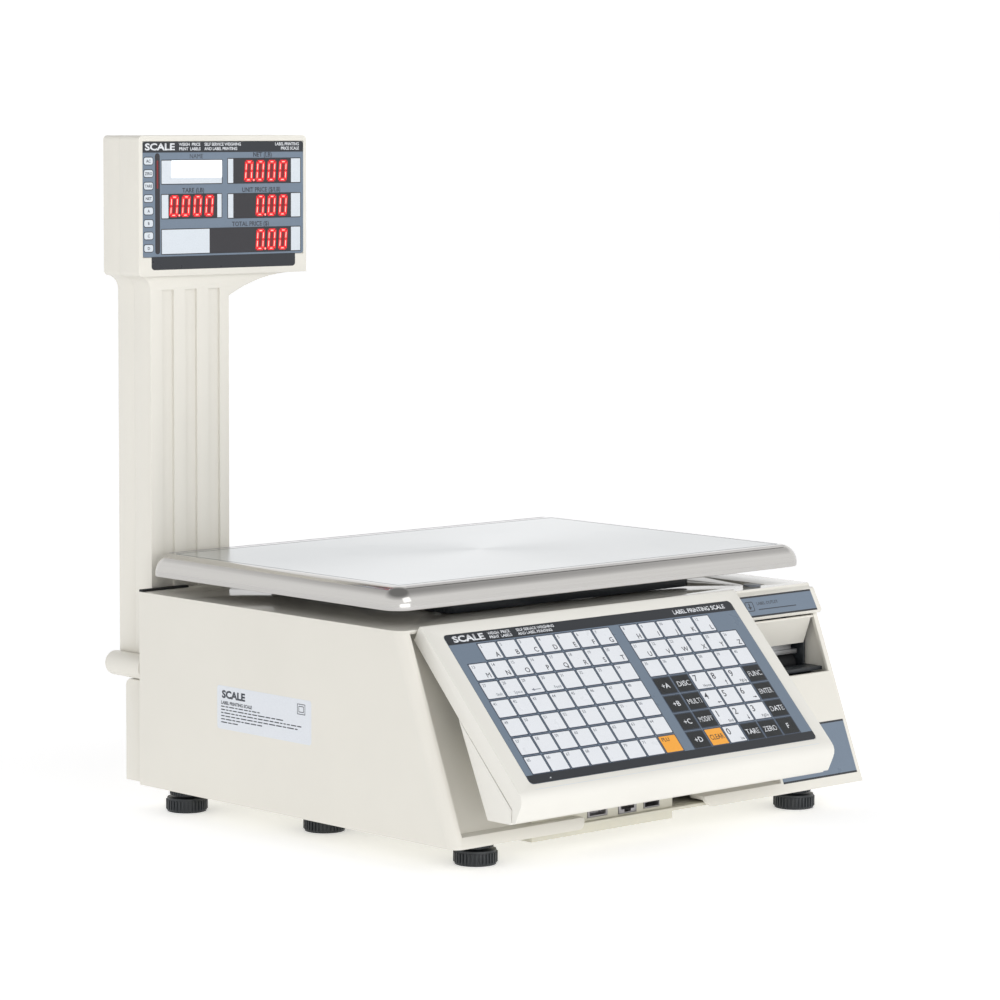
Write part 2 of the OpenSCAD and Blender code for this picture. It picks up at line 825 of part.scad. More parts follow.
module foot_lock_nuts() {
    color([0.12, 0.14, 0.15])
        for (f = FEET)
            translate([f[1], f[2], foot_nut_low])
                difference() {
                    union() {
                        cylinder(r = foot_nut_r - 0.5, h = plate_low - foot_nut_low);
                        for (i = [0:knurls - 1])
                            rotate(i * 360 / knurls)
                                translate([foot_nut_r - 1, -0.5, 0.5])
                                    cube([1, 1, plate_low - foot_nut_low - 1]);
                    }
                    translate([0, 0, -1])
                        cylinder(r = foot_stud_r + run, h = 20);
                }
}

module foot(f) {
    color([0.12, 0.14, 0.15])
        translate([f[1], f[2], 0]) {
            cylinder(r = foot_pad_r - 0.9, h = foot_pad_h);
            for (i = [0:knurls - 1])
                rotate(i * 360 / knurls)
                    translate([foot_pad_r - 1.5, -0.6, 1.5])
                        cube([1.5, 1.2, foot_pad_h - 3]);
        }
    color("silver")
        translate([f[1], f[2], foot_pad_h - e])
            cylinder(r = foot_stud_r, h = foot_stud_top - foot_pad_h);
}

module case_screws() {
    color("silver")
        for (s = SCREWS)
            translate([s[0], s[1], plate_low - 2]) {
                cylinder(r = 3, h = 2);
                cylinder(r = screw_r, h = 14);
            }
}

// ---- Column and display head ----

slope_run = head_right - 8 - column_right;
slope_drop = 15;
slope_r = (slope_run * slope_run + slope_drop * slope_drop) / (2 * slope_drop);
slope_a = asin(slope_run / slope_r);
flare = 10;

column_outline = concat(
    [[column_left, column_low], [column_right, column_low]],
    arc([head_right - 8, head_low - slope_r], slope_r, 90 + slope_a, 90, 8),
    [[head_right, head_low]],
    arc([head_right - 3, head_top - 3], 3, 0, 90, 4),
    arc([head_left + 3, head_top - 3], 3, 90, 180, 4),
    arc([head_left + 3, head_low + 3], 3, 180, 270, 4),
    arc([column_left - flare, head_low - flare], flare, 78, 0, 6));

// Column and head together, between two planes
module column_body(y0, y1, t) {
    along_y(y0, y1)
        polygon(t > 0 ? inset(column_outline, t) : column_outline);
}

module column_front() {
    color([0.91, 0.90, 0.86])
        difference() {
            union() {
                column_body(column_front_y + 0.1, column_split, 0);
                along_y(head_front_y, column_front_y + 0.1)
                    polygon(concat(
                        arc([head_left + 3, head_low + 3], 3, 180, 270, 4),
                        [[head_right, head_low]],
                        arc([head_right - 3, head_top - 3], 3, 0, 90, 4),
                        arc([head_left + 3, head_top - 3], 3, 90, 180, 4)));
            }
            column_body(column_front_y + wall + 1, column_split + 1, wall);
            for (i = [0:2])
                translate([column_left + groove_w + i * groove_pitch, column_front_y, 0])
                    block([0, -5, column_low - 1], [groove_w, groove_depth, groove_top]);
            rod_y(base_rear - 5, column_rear_y, knob_x, knob_z, knob_r + gap);
            // Seat of the display window and the opening behind it
            block([head_left + 3.3, head_front_y - 1, window_low - 0.3],
                  [head_right - 2.7, head_front_y + 1.2, window_top + 0.3]);
            block([head_left + 6, head_front_y - 1, window_low + 3],
                  [head_right - 6, column_split + 1, window_top - 3]);
        }
}

module column_back() {
    color([0.91, 0.90, 0.86])
        difference() {
            column_body(column_split, column_rear_y, 0);
            column_body(column_split - 1, column_rear_y - wall, wall);
            block([head_left + 3.3, column_rear_y - 1.2, window_low - 0.3],
                  [head_right - 2.7, column_rear_y + 1, window_top + 0.3]);
            block([head_left + 6, column_rear_y - 10, window_low + 3],
                  [head_right - 6, column_rear_y + 1, window_top - 3]);
            rod_y(column_split - 5, column_rear_y + 5, knob_x, knob_z, knob_r + gap);
        }
}

// Clamp knob that holds the column's foot to the base
module column_knob() {
    rear = 202.5;
    dome = 6;
    color([0.90, 0.89, 0.85])
        translate([knob_x, 0, knob_z])
            difference() {
                union() {
                    rod_y(base_rear - 12, base_rear + 1, 0, 0, 3);
                    translate([0, base_rear + 0.3, 0])
                        rotate([-90, 0, 0])
                            rotate_extrude()
                                polygon(concat(
                                    [[0, 0], [knob_r, 0]],
                                    [for (a = [0:15:90]) [knob_r * cos(a) + e,
                                        rear - base_rear - 0.3 - dome + dome * sin(a)]],
                                    [[0, rear - base_rear - 0.3]]));
                }
                block([-0.7, rear - 5, -20], [0.7, rear + 5, 20]);
            }
}

module window_sheet(y0) {
    along_y(y0, y0 + 1)
        polygon(rounded([head_left + 3.5, window_low], [head_right - 2.9, window_top], 2, 4));
}

module display_window() {
    color([0.42, 0.49, 0.57])
        window_sheet(head_front_y + 0.1);
}

module customer_window() {
    color([0.42, 0.49, 0.57])
        window_sheet(column_rear_y - 1.1);
}

// Board with the number blocks for the operator and the customer
module display_board() {
    lo = head_left + 8;
    hi = head_right - 8;
    mid = (lo + hi) / 2;
    color([0.08, 0.34, 0.20])
        block([lo, column_split - 1, window_low + 5], [hi, column_split + 0.6, window_top - 5]);
    color([0.15, 0.15, 0.16])
        for (row = [0:2], x = [lo + 14, mid + 6]) {
            z = window_low + 8 + row * 22;
            block([x, head_front_y + 5, z], [x + 48, column_split - 1, z + 16]);
            block([x, column_split + 0.6, z], [x + 48, column_rear_y - 5, z + 16]);
        }
}

// ---- Label printer ----

module printer_frame() {
    color([0.13, 0.14, 0.15])
        difference() {
            union() {
                // Side plate with a foot on the chassis
                block([frame_x, -112, plate_top], [frame_x + frame_t, 58, 93]);
                block([frame_x, -103, 92], [frame_x + frame_t, 58, 132]);
                block([frame_x, -112, plate_top], [frame_x + 12, -40, plate_top + 2]);
                // Right bearing plate and the bars that hold it
                block([bearing_x, -106, 80], [bearing_x + frame_t, -60, 124]);
                block([frame_x, -112, 76], [bearing_x + frame_t, -104, 80]);
                block([frame_x, -64, 76], [bearing_x + frame_t, -60, 80.5]);
                block([bearing_x, -106, 76], [bearing_x + frame_t, -60, 81]);
                // Tear bar in the outlet
                block([frame_x, -122, 90.5], [bearing_x + frame_t, -109, 93]);
                block([bearing_x, -112, 76], [bearing_x + frame_t, -104, 93]);
                // Motor bracket
                block([103.5, motor_y - 19, 72], [105.5, motor_y + 19, 112]);
                block([103.5, motor_y - 19, 108], [frame_x + 1, motor_y - 12, 112]);
                block([103.5, motor_y + 12, 108], [frame_x + 1, motor_y + 19, 112]);
                // Spindles of the label roll and the liner spool
                rod_x(frame_x + 1, label_x + label_w, roll_y, roll_z, spindle_r);
                rod_x(frame_x + 1, label_x + label_w, spool_y, spool_z, 4);
            }
            rod_x(frame_x - 1, frame_x + frame_t + 1, platen_y, platen_z, 3 + run);
            rod_x(bearing_x - 1, bearing_x + frame_t + 1, platen_y, platen_z, 3 + run);
            rod_x(frame_x - 1, frame_x + frame_t + 1, pivot_y, pivot_z, 2 + run);
            rod_x(bearing_x - 1, bearing_x + frame_t + 1, pivot_y, pivot_z, 2 + run);
            rod_x(100, 107, motor_y, platen_z, 7);
        }
}

module platen_roller() {
    color([0.14, 0.14, 0.15])
        rod_x(frame_x + frame_t + 0.5, bearing_x - 0.5, platen_y, platen_z, platen_r);
    color("silver")
        rod_x(gear_x, 186.5, platen_y, platen_z, 3);
    color([0.92, 0.92, 0.90])
        translate([gear_x, platen_y, platen_z])
            gear(platen_teeth, gear_w, 0);
}

module motor_pinion() {
    color([0.85, 0.72, 0.35])
        translate([gear_x, motor_y, platen_z])
            gear(pinion_teeth, gear_w, 180 / pinion_teeth);
    color("silver")
        rod_x(99, gear_x + 1, motor_y, platen_z, 2);
}

module printer_motor() {
    color([0.60, 0.61, 0.63])
        difference() {
            union() {
                rod_x(82, 103.5, motor_y, platen_z, 17.5);
                rod_x(103.5 - e, 105.5, motor_y, platen_z, 6);
            }
            rod_x(98, 110, motor_y, platen_z, 2 + run);
        }
}

// Thermal head on its pivot shaft, resting just over the roller
module print_head() {
    low = platen_z + platen_r + 0.3;
    color([0.55, 0.56, 0.58]) {
        rod_x(frame_x + 0.3, 185.7, pivot_y, pivot_z, 2);
        block([frame_x + 4, -102, low], [182, pivot_y + 4, low + 3]);
        block([frame_x + 4, pivot_y - 4, low + 2], [frame_x + 7, pivot_y + 4, pivot_z + 4]);
        block([179, pivot_y - 4, low + 2], [182, pivot_y + 4, pivot_z + 4]);
        block([frame_x + 8, -100, low + 3 - e], [178, -76, low + 9]);
    }
}

module label_roll() {
    color([0.96, 0.96, 0.94])
        difference() {
            rod_x(label_x, label_x + label_w, roll_y, roll_z, roll_r);
            rod_x(label_x - 1, label_x + label_w + 1, roll_y, roll_z, spindle_r + run);
        }
}

module liner_spool() {
    color([0.18, 0.19, 0.20])
        difference() {
            union() {
                rod_x(label_x, label_x + label_w, spool_y, spool_z, 7);
                rod_x(label_x, label_x + 2, spool_y, spool_z, 16);
                rod_x(label_x + label_w - 2, label_x + label_w, spool_y, spool_z, 16);
            }
            rod_x(label_x - 1, label_x + label_w + 1, spool_y, spool_z, 4 + run);
        }
}

// Side door, on two pins in its rear edge
module printer_door() {
    half = door_t / 2;
    color([0.89, 0.87, 0.83])
        difference() {
            union() {
                block([base_x - door_t, door_front + gap, door_low + gap],
                      [base_x, door_pin_y, door_high - gap]);
                translate([door_pin_x, door_pin_y, door_low + gap])
                    cylinder(r = half, h = door_high - door_low - 2 * gap);
                translate([door_pin_x, door_pin_y, door_low - 2.5])
                    cylinder(r = door_pin_r, h = door_high - door_low + 5);
            }
            // Finger grip
            block([base_x - 1.2, door_front + 6, 76], [base_x + 1, door_front + 14, 96]);
        }
}

// Baffle that hangs over the label outlet on two pins
module paper_flap() {
    color([0.89, 0.87, 0.83]) {
        along_x(frame_x + frame_t + 0.5, bearing_x - 0.5)
            polygon([
                flap_top + [-1, 0], flap_bottom + [-1, 0], flap_bottom + [1, 0], flap_top + [1, 0]]);
        rod_x(printer_left + 2, base_x - 3, flap_top[0], flap_top[1], flap_pin_r);
    }
}

module fixed(name) {
    children();
}

fixed("housing_cover") housing_cover();
fixed("chassis_plate") chassis_plate();
fixed("rear_panel") rear_panel();
fixed("keyboard_bezel") keyboard_bezel();
fixed("keyboard_tray") keyboard_tray();
fixed("keypad_overlay") keypad_overlay();
fixed("keypad_board") keypad_board();
fixed("data_ports") data_ports();
fixed("main_board") main_board();
fixed("power_supply") power_supply();
fixed("power_inlet") power_inlet();
fixed("power_switch") power_switch();
fixed("load_cell") load_cell();
fixed("load_spider") load_spider();
fixed("pan_support") pan_support();
fixed("support_pads") support_pads();
fixed("weighing_pan") weighing_pan();
fixed("spirit_level") spirit_level();
fixed("foot_lock_nuts") foot_lock_nuts();
fixed("column_front") column_front();
fixed("column_back") column_back();
fixed("column_knob") column_knob();
fixed("display_window") display_window();
fixed("customer_window") customer_window();
fixed("display_board") display_board();
fixed("printer_door") printer_door();
fixed("paper_flap") paper_flap();
fixed("printer_frame") printer_frame();
fixed("platen_roller") platen_roller();
fixed("printer_motor") printer_motor();
fixed("motor_pinion") motor_pinion();
fixed("print_head") print_head();
fixed("label_roll") label_roll();
fixed("liner_spool") liner_spool();
fixed("case_screws") case_screws();
for (f = FEET)
    foot(f);
for (k = KEYS)
    key(k[1], k[2]);
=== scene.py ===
"""Label printing scale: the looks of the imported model, in metres."""

import math
import random

import bmesh
import bpy
from mathutils import Matrix, Vector


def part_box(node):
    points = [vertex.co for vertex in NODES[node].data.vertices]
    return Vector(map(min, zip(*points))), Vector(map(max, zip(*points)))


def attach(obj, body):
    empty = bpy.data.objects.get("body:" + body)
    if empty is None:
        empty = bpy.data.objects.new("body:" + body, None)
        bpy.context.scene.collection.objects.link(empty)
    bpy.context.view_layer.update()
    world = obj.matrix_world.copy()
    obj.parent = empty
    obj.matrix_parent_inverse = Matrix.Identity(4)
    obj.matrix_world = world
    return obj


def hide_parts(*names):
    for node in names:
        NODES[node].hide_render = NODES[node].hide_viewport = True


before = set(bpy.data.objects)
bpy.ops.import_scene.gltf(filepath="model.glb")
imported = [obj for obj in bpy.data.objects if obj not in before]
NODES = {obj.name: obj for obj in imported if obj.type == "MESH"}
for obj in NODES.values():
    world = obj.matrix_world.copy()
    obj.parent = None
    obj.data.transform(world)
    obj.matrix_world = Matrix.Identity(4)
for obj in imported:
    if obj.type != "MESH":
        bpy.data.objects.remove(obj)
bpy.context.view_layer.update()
MM = 0.001
random.seed(7)  # for the ruled lines of the rating label


def mm(*values):
    """A point or size given in millimetres, in metres."""
    return Vector([v * MM for v in values])


# ---------------------------------------------------------------- camera

CAMERA_PLACE = mm(-1798.9, -1908.2, 481.3)
CAMERA_YAW = math.radians(43.215)
CAMERA_PITCH = math.radians(5.881)
CAMERA_ROLL = math.radians(0.28)
CAMERA_LENS = 139.7


def make_camera():
    data = bpy.data.cameras.new("camera")
    data.lens = CAMERA_LENS
    data.sensor_width = 36
    data.clip_start = 0.05
    data.clip_end = 50
    cam = bpy.data.objects.new("camera", data)
    bpy.context.scene.collection.objects.link(cam)
    cam.matrix_world = (
        Matrix.Translation(CAMERA_PLACE)
        @ Matrix.Rotation(-CAMERA_YAW, 4, "Z")
        @ Matrix.Rotation(math.pi / 2 - CAMERA_PITCH, 4, "X")
        @ Matrix.Rotation(CAMERA_ROLL, 4, "Z")
    )
    bpy.context.scene.camera = cam


make_camera()


# ---------------------------------------------------------------- materials


def srgb(r, g, b):
    """An sRGB colour, 0 to 255, as linear values with alpha."""
    lin = [((c / 255 + 0.055) / 1.055) ** 2.4 if c > 10 else c / 255 / 12.92 for c in (r, g, b)]
    return (*lin, 1.0)


def shaded(color, factor):
    return (*[min(1.0, c * factor) for c in color[:3]], 1.0)


class Mat:
    """A node material under construction, with short calls for the usual nodes."""

    def __init__(self, name):
        self.mat = bpy.data.materials.new(name)
        self.mat.use_nodes = True
        self.tree = self.mat.node_tree
        self.shader = self.tree.nodes["Principled BSDF"]
        self.coord = self.tree.nodes.new("ShaderNodeTexCoord").outputs["Object"]

    def node(self, kind, **inputs):
        n = self.tree.nodes.new(kind)
        for key, value in inputs.items():
            self.put(n.inputs[key.replace("_", " ")], value)
        return n

    def put(self, socket, value):
        if isinstance(value, bpy.types.NodeSocket):
            self.tree.links.new(value, socket)
        else:
            socket.default_value = value

    def set(self, **values):
        for key, value in values.items():
            self.put(self.shader.inputs[key.replace("_", " ")], value)
        return self

    def stretched(self, scale):
        n = self.node("ShaderNodeMapping", Vector=self.coord)
        n.inputs["Scale"].default_value = scale
        return n.outputs["Vector"]

    def noise(self, scale, detail=4.0, vector=None, rough=0.55):
        n = self.node("ShaderNodeTexNoise", Vector=vector or self.coord)
        n.inputs["Scale"].default_value = scale
        n.inputs["Detail"].default_value = detail
        n.inputs["Roughness"].default_value = rough
        return n.outputs["Fac"]

    def ramp(self, value, low, high, start=0.3, end=0.7):
        """Maps a factor to a number between low and high."""
        n = self.node("ShaderNodeMapRange", Value=value)
        n.inputs["From Min"].default_value = start
        n.inputs["From Max"].default_value = end
        n.inputs["To Min"].default_value = low
        n.inputs["To Max"].default_value = high
        return n.outputs["Result"]

    def colors(self, value, *stops):
        """A colour ramp over a factor; stops are (position, colour)."""
        n = self.node("ShaderNodeValToRGB", Fac=value)
        ramp = n.color_ramp
        while len(ramp.elements) < len(stops):
            ramp.elements.new(0.5)
        for element, (position, color) in zip(ramp.elements, stops):
            element.position = position
            element.color = color
        return n.outputs["Color"]

    def bump(self, height, strength, distance):
        n = self.node("ShaderNodeBump", Height=height)
        n.inputs["Strength"].default_value = strength
        n.inputs["Distance"].default_value = distance
        self.put(self.shader.inputs["Normal"], n.outputs["Normal"])
        return self


def moulded(name, color, rough=(0.3, 0.42), grain=900.0, strength=0.12, patch=9.0, tint=0.02, polish=None):
    """Injection-moulded plastic: fine spark grain, faint flow patches, slight yellowing."""
    m = Mat(name)
    broad = m.noise(patch, 3.0)
    fine = m.noise(grain, 2.0)
    m.set(
        Base_Color=m.colors(
            broad, (0.3, shaded(color, 1 - tint)), (0.5, color), (0.72, shaded(color, 1 + tint))
        ),
        Roughness=m.ramp(m.noise(patch * 5, 4.0), *rough),
    )
    m.shader.inputs["IOR"].default_value = 1.5
    m.bump(fine, strength, 0.00006)
    if polish:
        polished_above(m, polish)
    return m.mat


def polished_above(m, height):
    """Turns a moulded finish glossy above a height, where the tool was polished for the deck."""
    z = m.node("ShaderNodeSeparateXYZ", Vector=m.coord).outputs["Z"]
    grown = m.shader.inputs["Roughness"].links[0].from_socket
    keep = m.ramp(z, 1.0, 0.16, height - 0.0004, height)
    mix = m.tree.nodes.new("ShaderNodeMath")
    mix.operation = "MULTIPLY"
    m.put(mix.inputs[0], grown)
    m.put(mix.inputs[1], keep)
    m.put(m.shader.inputs["Roughness"], mix.outputs[0])


def film(name, color, rough=(0.27, 0.34)):
    """Screen-printed polyester film: a faint orange peel and specks of pigment."""
    m = Mat(name)
    m.set(
        Base_Color=m.colors(
            m.noise(2400, 1.0), (0.25, shaded(color, 0.93)), (0.5, color), (0.8, shaded(color, 1.05))
        ),
        Roughness=m.ramp(m.noise(60, 3.0), *rough),
    )
    m.bump(m.noise(500, 2.0), 0.025, 0.00004)
    return m.mat


def brushed(name, color, rough=(0.2, 0.32), along=(8, 900, 900), anisotropic=0.5, strength=0.1, tint=0.1):
    """Brushed metal: long streaks along one axis in colour, roughness and height."""
    m = Mat(name)
    streaks = m.noise(1.0, 5.0, m.stretched(along), 0.7)
    m.set(
        Base_Color=m.colors(streaks, (0.3, shaded(color, 1 - tint)), (0.7, shaded(color, 1 + tint / 2))),
        Roughness=m.ramp(streaks, *rough),
    )
    m.shader.inputs["Metallic"].default_value = 1.0
    m.shader.inputs["Anisotropic"].default_value = anisotropic
    m.bump(streaks, strength, 0.00002)
    return m.mat


def cast_metal(name, color, rough=(0.35, 0.55)):
    m = Mat(name)
    m.set(
        Base_Color=m.colors(m.noise(40, 4.0), (0.3, shaded(color, 0.85)), (0.7, shaded(color, 1.06))),
        Roughness=m.ramp(m.noise(120, 4.0), *rough),
    )
    m.shader.inputs["Metallic"].default_value = 1.0
    m.bump(m.noise(1500, 2.0), 0.2, 0.00005)
    return m.mat


def circuit(name):
    """Green solder mask with paler traces in a right-angled weave."""
    m = Mat(name)
    brick = m.node("ShaderNodeTexBrick", Vector=m.coord)
    brick.inputs["Scale"].default_value = 140
    brick.inputs["Mortar Size"].default_value = 0.035
    m.set(
        Base_Color=m.colors(brick.outputs["Fac"], (0.0, srgb(18, 84, 48)), (1.0, srgb(44, 122, 74))),
        Roughness=m.ramp(m.noise(200), 0.25, 0.4),
    )
    m.bump(brick.outputs["Fac"], 0.3, 0.00005)
    return m.mat


def glowing(name, color, strength, cell=900.0):
    """A lit surface with a fine diffuser grain, a little uneven from place to place."""
    m = Mat(name)
    glow = m.colors(m.noise(cell, 2.0), (0.3, shaded(color, 0.8)), (0.7, color))
    m.set(Base_Color=glow, Emission_Color=glow, Roughness=m.ramp(m.noise(300), 0.3, 0.45))
    m.shader.inputs["Emission Strength"].default_value = strength
    return m.mat


CREAM = srgb(227, 224, 215)
# A paler copy of the cream for the keyboard's bezel and tray: painted light, for the brighter light on the
# bezel's front.
CREAM_PAINTED_LIT = srgb(230, 228, 221)
BLUE_GREY = srgb(111, 126, 143)
DARK_PRINT = srgb(33, 37, 44)
KEY_WHITE = srgb(233, 236, 241)
ORANGE = srgb(250, 172, 58)

cream = moulded("cream_abs", CREAM)
cream_housing = moulded("cream_housing", CREAM, polish=0.149, strength=0.04)
cream_painted_lit = moulded("cream_painted_lit", CREAM_PAINTED_LIT, rough=(0.28, 0.4))
port_plastic = moulded("port_plastic", srgb(214, 211, 196), rough=(0.4, 0.55))
black_plastic = moulded("black_plastic", srgb(40, 44, 48), rough=(0.35, 0.5), tint=0.15)
rubber = moulded("rubber", srgb(30, 31, 33), rough=(0.6, 0.8), grain=1500, strength=0.3, tint=0.15)
black_paint = moulded("black_paint", srgb(42, 46, 50), rough=(0.16, 0.26), grain=700, tint=0.1)
print_blue = film("print_blue", BLUE_GREY)
print_dark = film("print_dark", DARK_PRINT)
print_white = film("print_white", KEY_WHITE)
print_window = film("print_window", srgb(214, 221, 228))
print_orange = film("print_orange", ORANGE)
print_ink = film("print_ink", srgb(52, 58, 68))
print_grey = film("print_grey", srgb(128, 134, 144))
print_key_dark = film("print_key_dark", srgb(24, 28, 31))
print_rim = film("print_rim", srgb(62, 72, 88))
print_brown = film("print_brown", srgb(96, 58, 24))
panel_dark = film("panel_dark", srgb(44, 43, 48), rough=(0.12, 0.2))
label_white = film("label_white", srgb(222, 226, 232), rough=(0.3, 0.42))
ROLLED = {"along": (4, 4, 900), "strength": 0.03, "tint": 0.03}
pan_steel = brushed("pan_steel", srgb(201, 204, 206), rough=(0.2, 0.26), **ROLLED)
# The rolled edge's steel: a little darker and warmer than the pan top as painted shade, and glossier as a
# real finish.
roll_steel_painted_shade = brushed("roll_steel_painted_shade", srgb(196, 194, 191), rough=(0.11, 0.16), **ROLLED)
plain_steel = brushed("plain_steel", srgb(190, 191, 193), rough=(0.28, 0.42), along=(60, 500, 500))
aluminium = cast_metal("aluminium", srgb(196, 197, 200))
steel_shadow = cast_metal("steel_shadow", srgb(168, 166, 168), rough=(0.35, 0.5))
brass = cast_metal("brass", srgb(205, 170, 96), rough=(0.2, 0.35))
circuit_green = circuit("circuit_green")
led_halo = glowing("led_halo", srgb(112, 10, 18), 0.35)
led_red = glowing("led_red", srgb(232, 22, 30), 0.9)
led_core = glowing("led_core", srgb(255, 178, 166), 1.0)
lcd_white = glowing("lcd_white", srgb(244, 250, 255), 0.6)
paper = moulded("paper", srgb(240, 240, 236), rough=(0.6, 0.75), grain=2500, strength=0.2)

# ---------------------------------------------------------------- shading of the CAD nodes


def smooth_group(limit):
    """Geometry nodes that shade faces smooth and keep edges sharper than the limit."""
    group = bpy.data.node_groups.new("smooth_by_angle", "GeometryNodeTree")
    group.interface.new_socket("Geometry", in_out="INPUT", socket_type="NodeSocketGeometry")
    group.interface.new_socket("Geometry", in_out="OUTPUT", socket_type="NodeSocketGeometry")
    start = group.nodes.new("NodeGroupInput")
    end = group.nodes.new("NodeGroupOutput")
    angle = group.nodes.new("GeometryNodeInputMeshEdgeAngle")
    flat = group.nodes.new("FunctionNodeCompare")
    flat.data_type = "FLOAT"
    flat.operation = "LESS_EQUAL"
    flat.inputs["B"].default_value = limit
    edges = group.nodes.new("GeometryNodeSetShadeSmooth")
    edges.domain = "EDGE"
    faces = group.nodes.new("GeometryNodeSetShadeSmooth")
    faces.domain = "FACE"
    link = group.links.new
    link(angle.outputs["Unsigned Angle"], flat.inputs["A"])
    link(flat.outputs["Result"], edges.inputs["Shade Smooth"])
    link(start.outputs[0], edges.inputs["Geometry"])
    link(edges.outputs["Geometry"], faces.inputs["Geometry"])
    link(faces.outputs["Geometry"], end.inputs[0])
    return group


SMOOTH = smooth_group(math.radians(28))


def shade(obj):
    obj.modifiers.new("smooth", "NODES").node_group = SMOOTH


WELD_GAP = 2e-6
FLAT_LIMIT = math.radians(0.6)
EDGE_LIMIT = math.radians(35)


def dress(names, mat, bevel=0.0, segments=2):
    """Gives CAD nodes a material, softened edges and smooth shading."""
    for name in names:
        obj = NODES[name]
        obj.data.materials.clear()
        obj.data.materials.append(mat)
        weld = obj.modifiers.new("weld", "WELD")
        weld.merge_threshold = WELD_GAP
        if bevel:
            flat = obj.modifiers.new("flat", "DECIMATE")
            flat.decimate_type = "DISSOLVE"
            flat.angle_limit = FLAT_LIMIT
            soft = obj.modifiers.new("soft", "BEVEL")
            soft.width = bevel * MM
            soft.segments = segments
            soft.limit_method = "ANGLE"
            soft.angle_limit = EDGE_LIMIT
            soft.use_clamp_overlap = True
        shade(obj)


KEYS_WHITE = ["key_%d" % n for n in range(10)]
KEYS_DARK = [
    "key_discount", "key_multiply", "key_modify", "key_tare",
    "key_zero", "key_function", "key_enter", "key_date",
]
FEET = [n for n in NODES if n.startswith("foot_") and n != "foot_lock_nuts"]

dress(["housing_cover"], cream_housing, 1.2, 3)
dress(["rear_panel", "column_knob"], cream, 0.8)
dress(["column_front", "column_back"], cream, 0.6)
dress(["printer_door", "paper_flap"], cream, 0.3)
# The bezel and tray take the paler cream, which is painted light.
dress(["keyboard_bezel", "keyboard_tray"], cream_painted_lit, 1.2, 3)
dress(["chassis_plate"], port_plastic, 0.3)
dress(["keypad_overlay"], print_blue)
dress(["keypad_board", "main_board", "display_board"], circuit_green)
dress(["case_screws", "power_supply"], plain_steel, 0.15)
dress(["data_ports"], steel_shadow, 0.15)
dress(["power_inlet", "power_switch", "printer_frame", "liner_spool"], black_plastic, 0.25)
dress(FEET + ["foot_lock_nuts"], black_plastic, 0.2)
dress(["load_cell", "load_spider", "print_head"], aluminium, 0.4)
dress(["pan_support"], black_paint, 0.6)
dress(["support_pads", "platen_roller"], rubber, 0.3)
dress(["spirit_level"], print_grey, 0.2)
dress(["display_window", "customer_window"], print_blue)
dress(["printer_motor"], plain_steel, 0.5)
dress(["motor_pinion"], brass, 0.1)
dress(["label_roll"], paper, 0.3)
dress(KEYS_WHITE, print_white)
dress(KEYS_DARK, print_key_dark)
dress(["key_clear"], print_orange)
dress(["weighing_pan"], pan_steel)

# ---------------------------------------------------------------- building pieces


def plane(origin, across, up):
    """The frame of a flat face: local X across it, local Y up it and local Z out of it, in millimetres."""
    x = Vector(across).normalized()
    y = Vector(up).normalized()
    z = x.cross(y)
    m = Matrix((x, y, z)).transposed().to_4x4()
    m.translation = mm(*origin)
    return m @ Matrix.Scale(MM, 4)


def rectangle(x0, y0, x1, y1, r=0.0, steps=4):
    """Anticlockwise outline of a rectangle with rounded corners."""
    if r <= 0:
        return [(x0, y0), (x1, y0), (x1, y1), (x0, y1)]
    points = []
    centres = ((x1 - r, y0 + r, -90), (x1 - r, y1 - r, 0), (x0 + r, y1 - r, 90), (x0 + r, y0 + r, 180))
    for cx, cy, start in centres:
        for i in range(steps + 1):
            a = math.radians(start + 90 * i / steps)
            points.append((cx + r * math.cos(a), cy + r * math.sin(a)))
    return points


def circle(cx, cy, r, steps=24):
    angles = [2 * math.pi * i / steps for i in range(steps)]
    return [(cx + r * math.cos(a), cy + r * math.sin(a)) for a in angles]


def inward(outline, d):
    """An anticlockwise outline moved inwards by d."""
    moved = []
    count = len(outline)
    for i in range(count):
        a, b, c = (Vector(outline[(i + k) % count]) for k in (-1, 0, 1))
        u = (b - a).normalized()
        v = (c - b).normalized()
        nu = Vector((-u.y, u.x))
        nv = Vector((-v.y, v.x))
        moved.append(tuple(b + (nu + nv) * (d / (1 + nu.dot(nv)))))
    return moved


CAP_HEIGHT = 0.729  # of the built-in font, for a size of 1


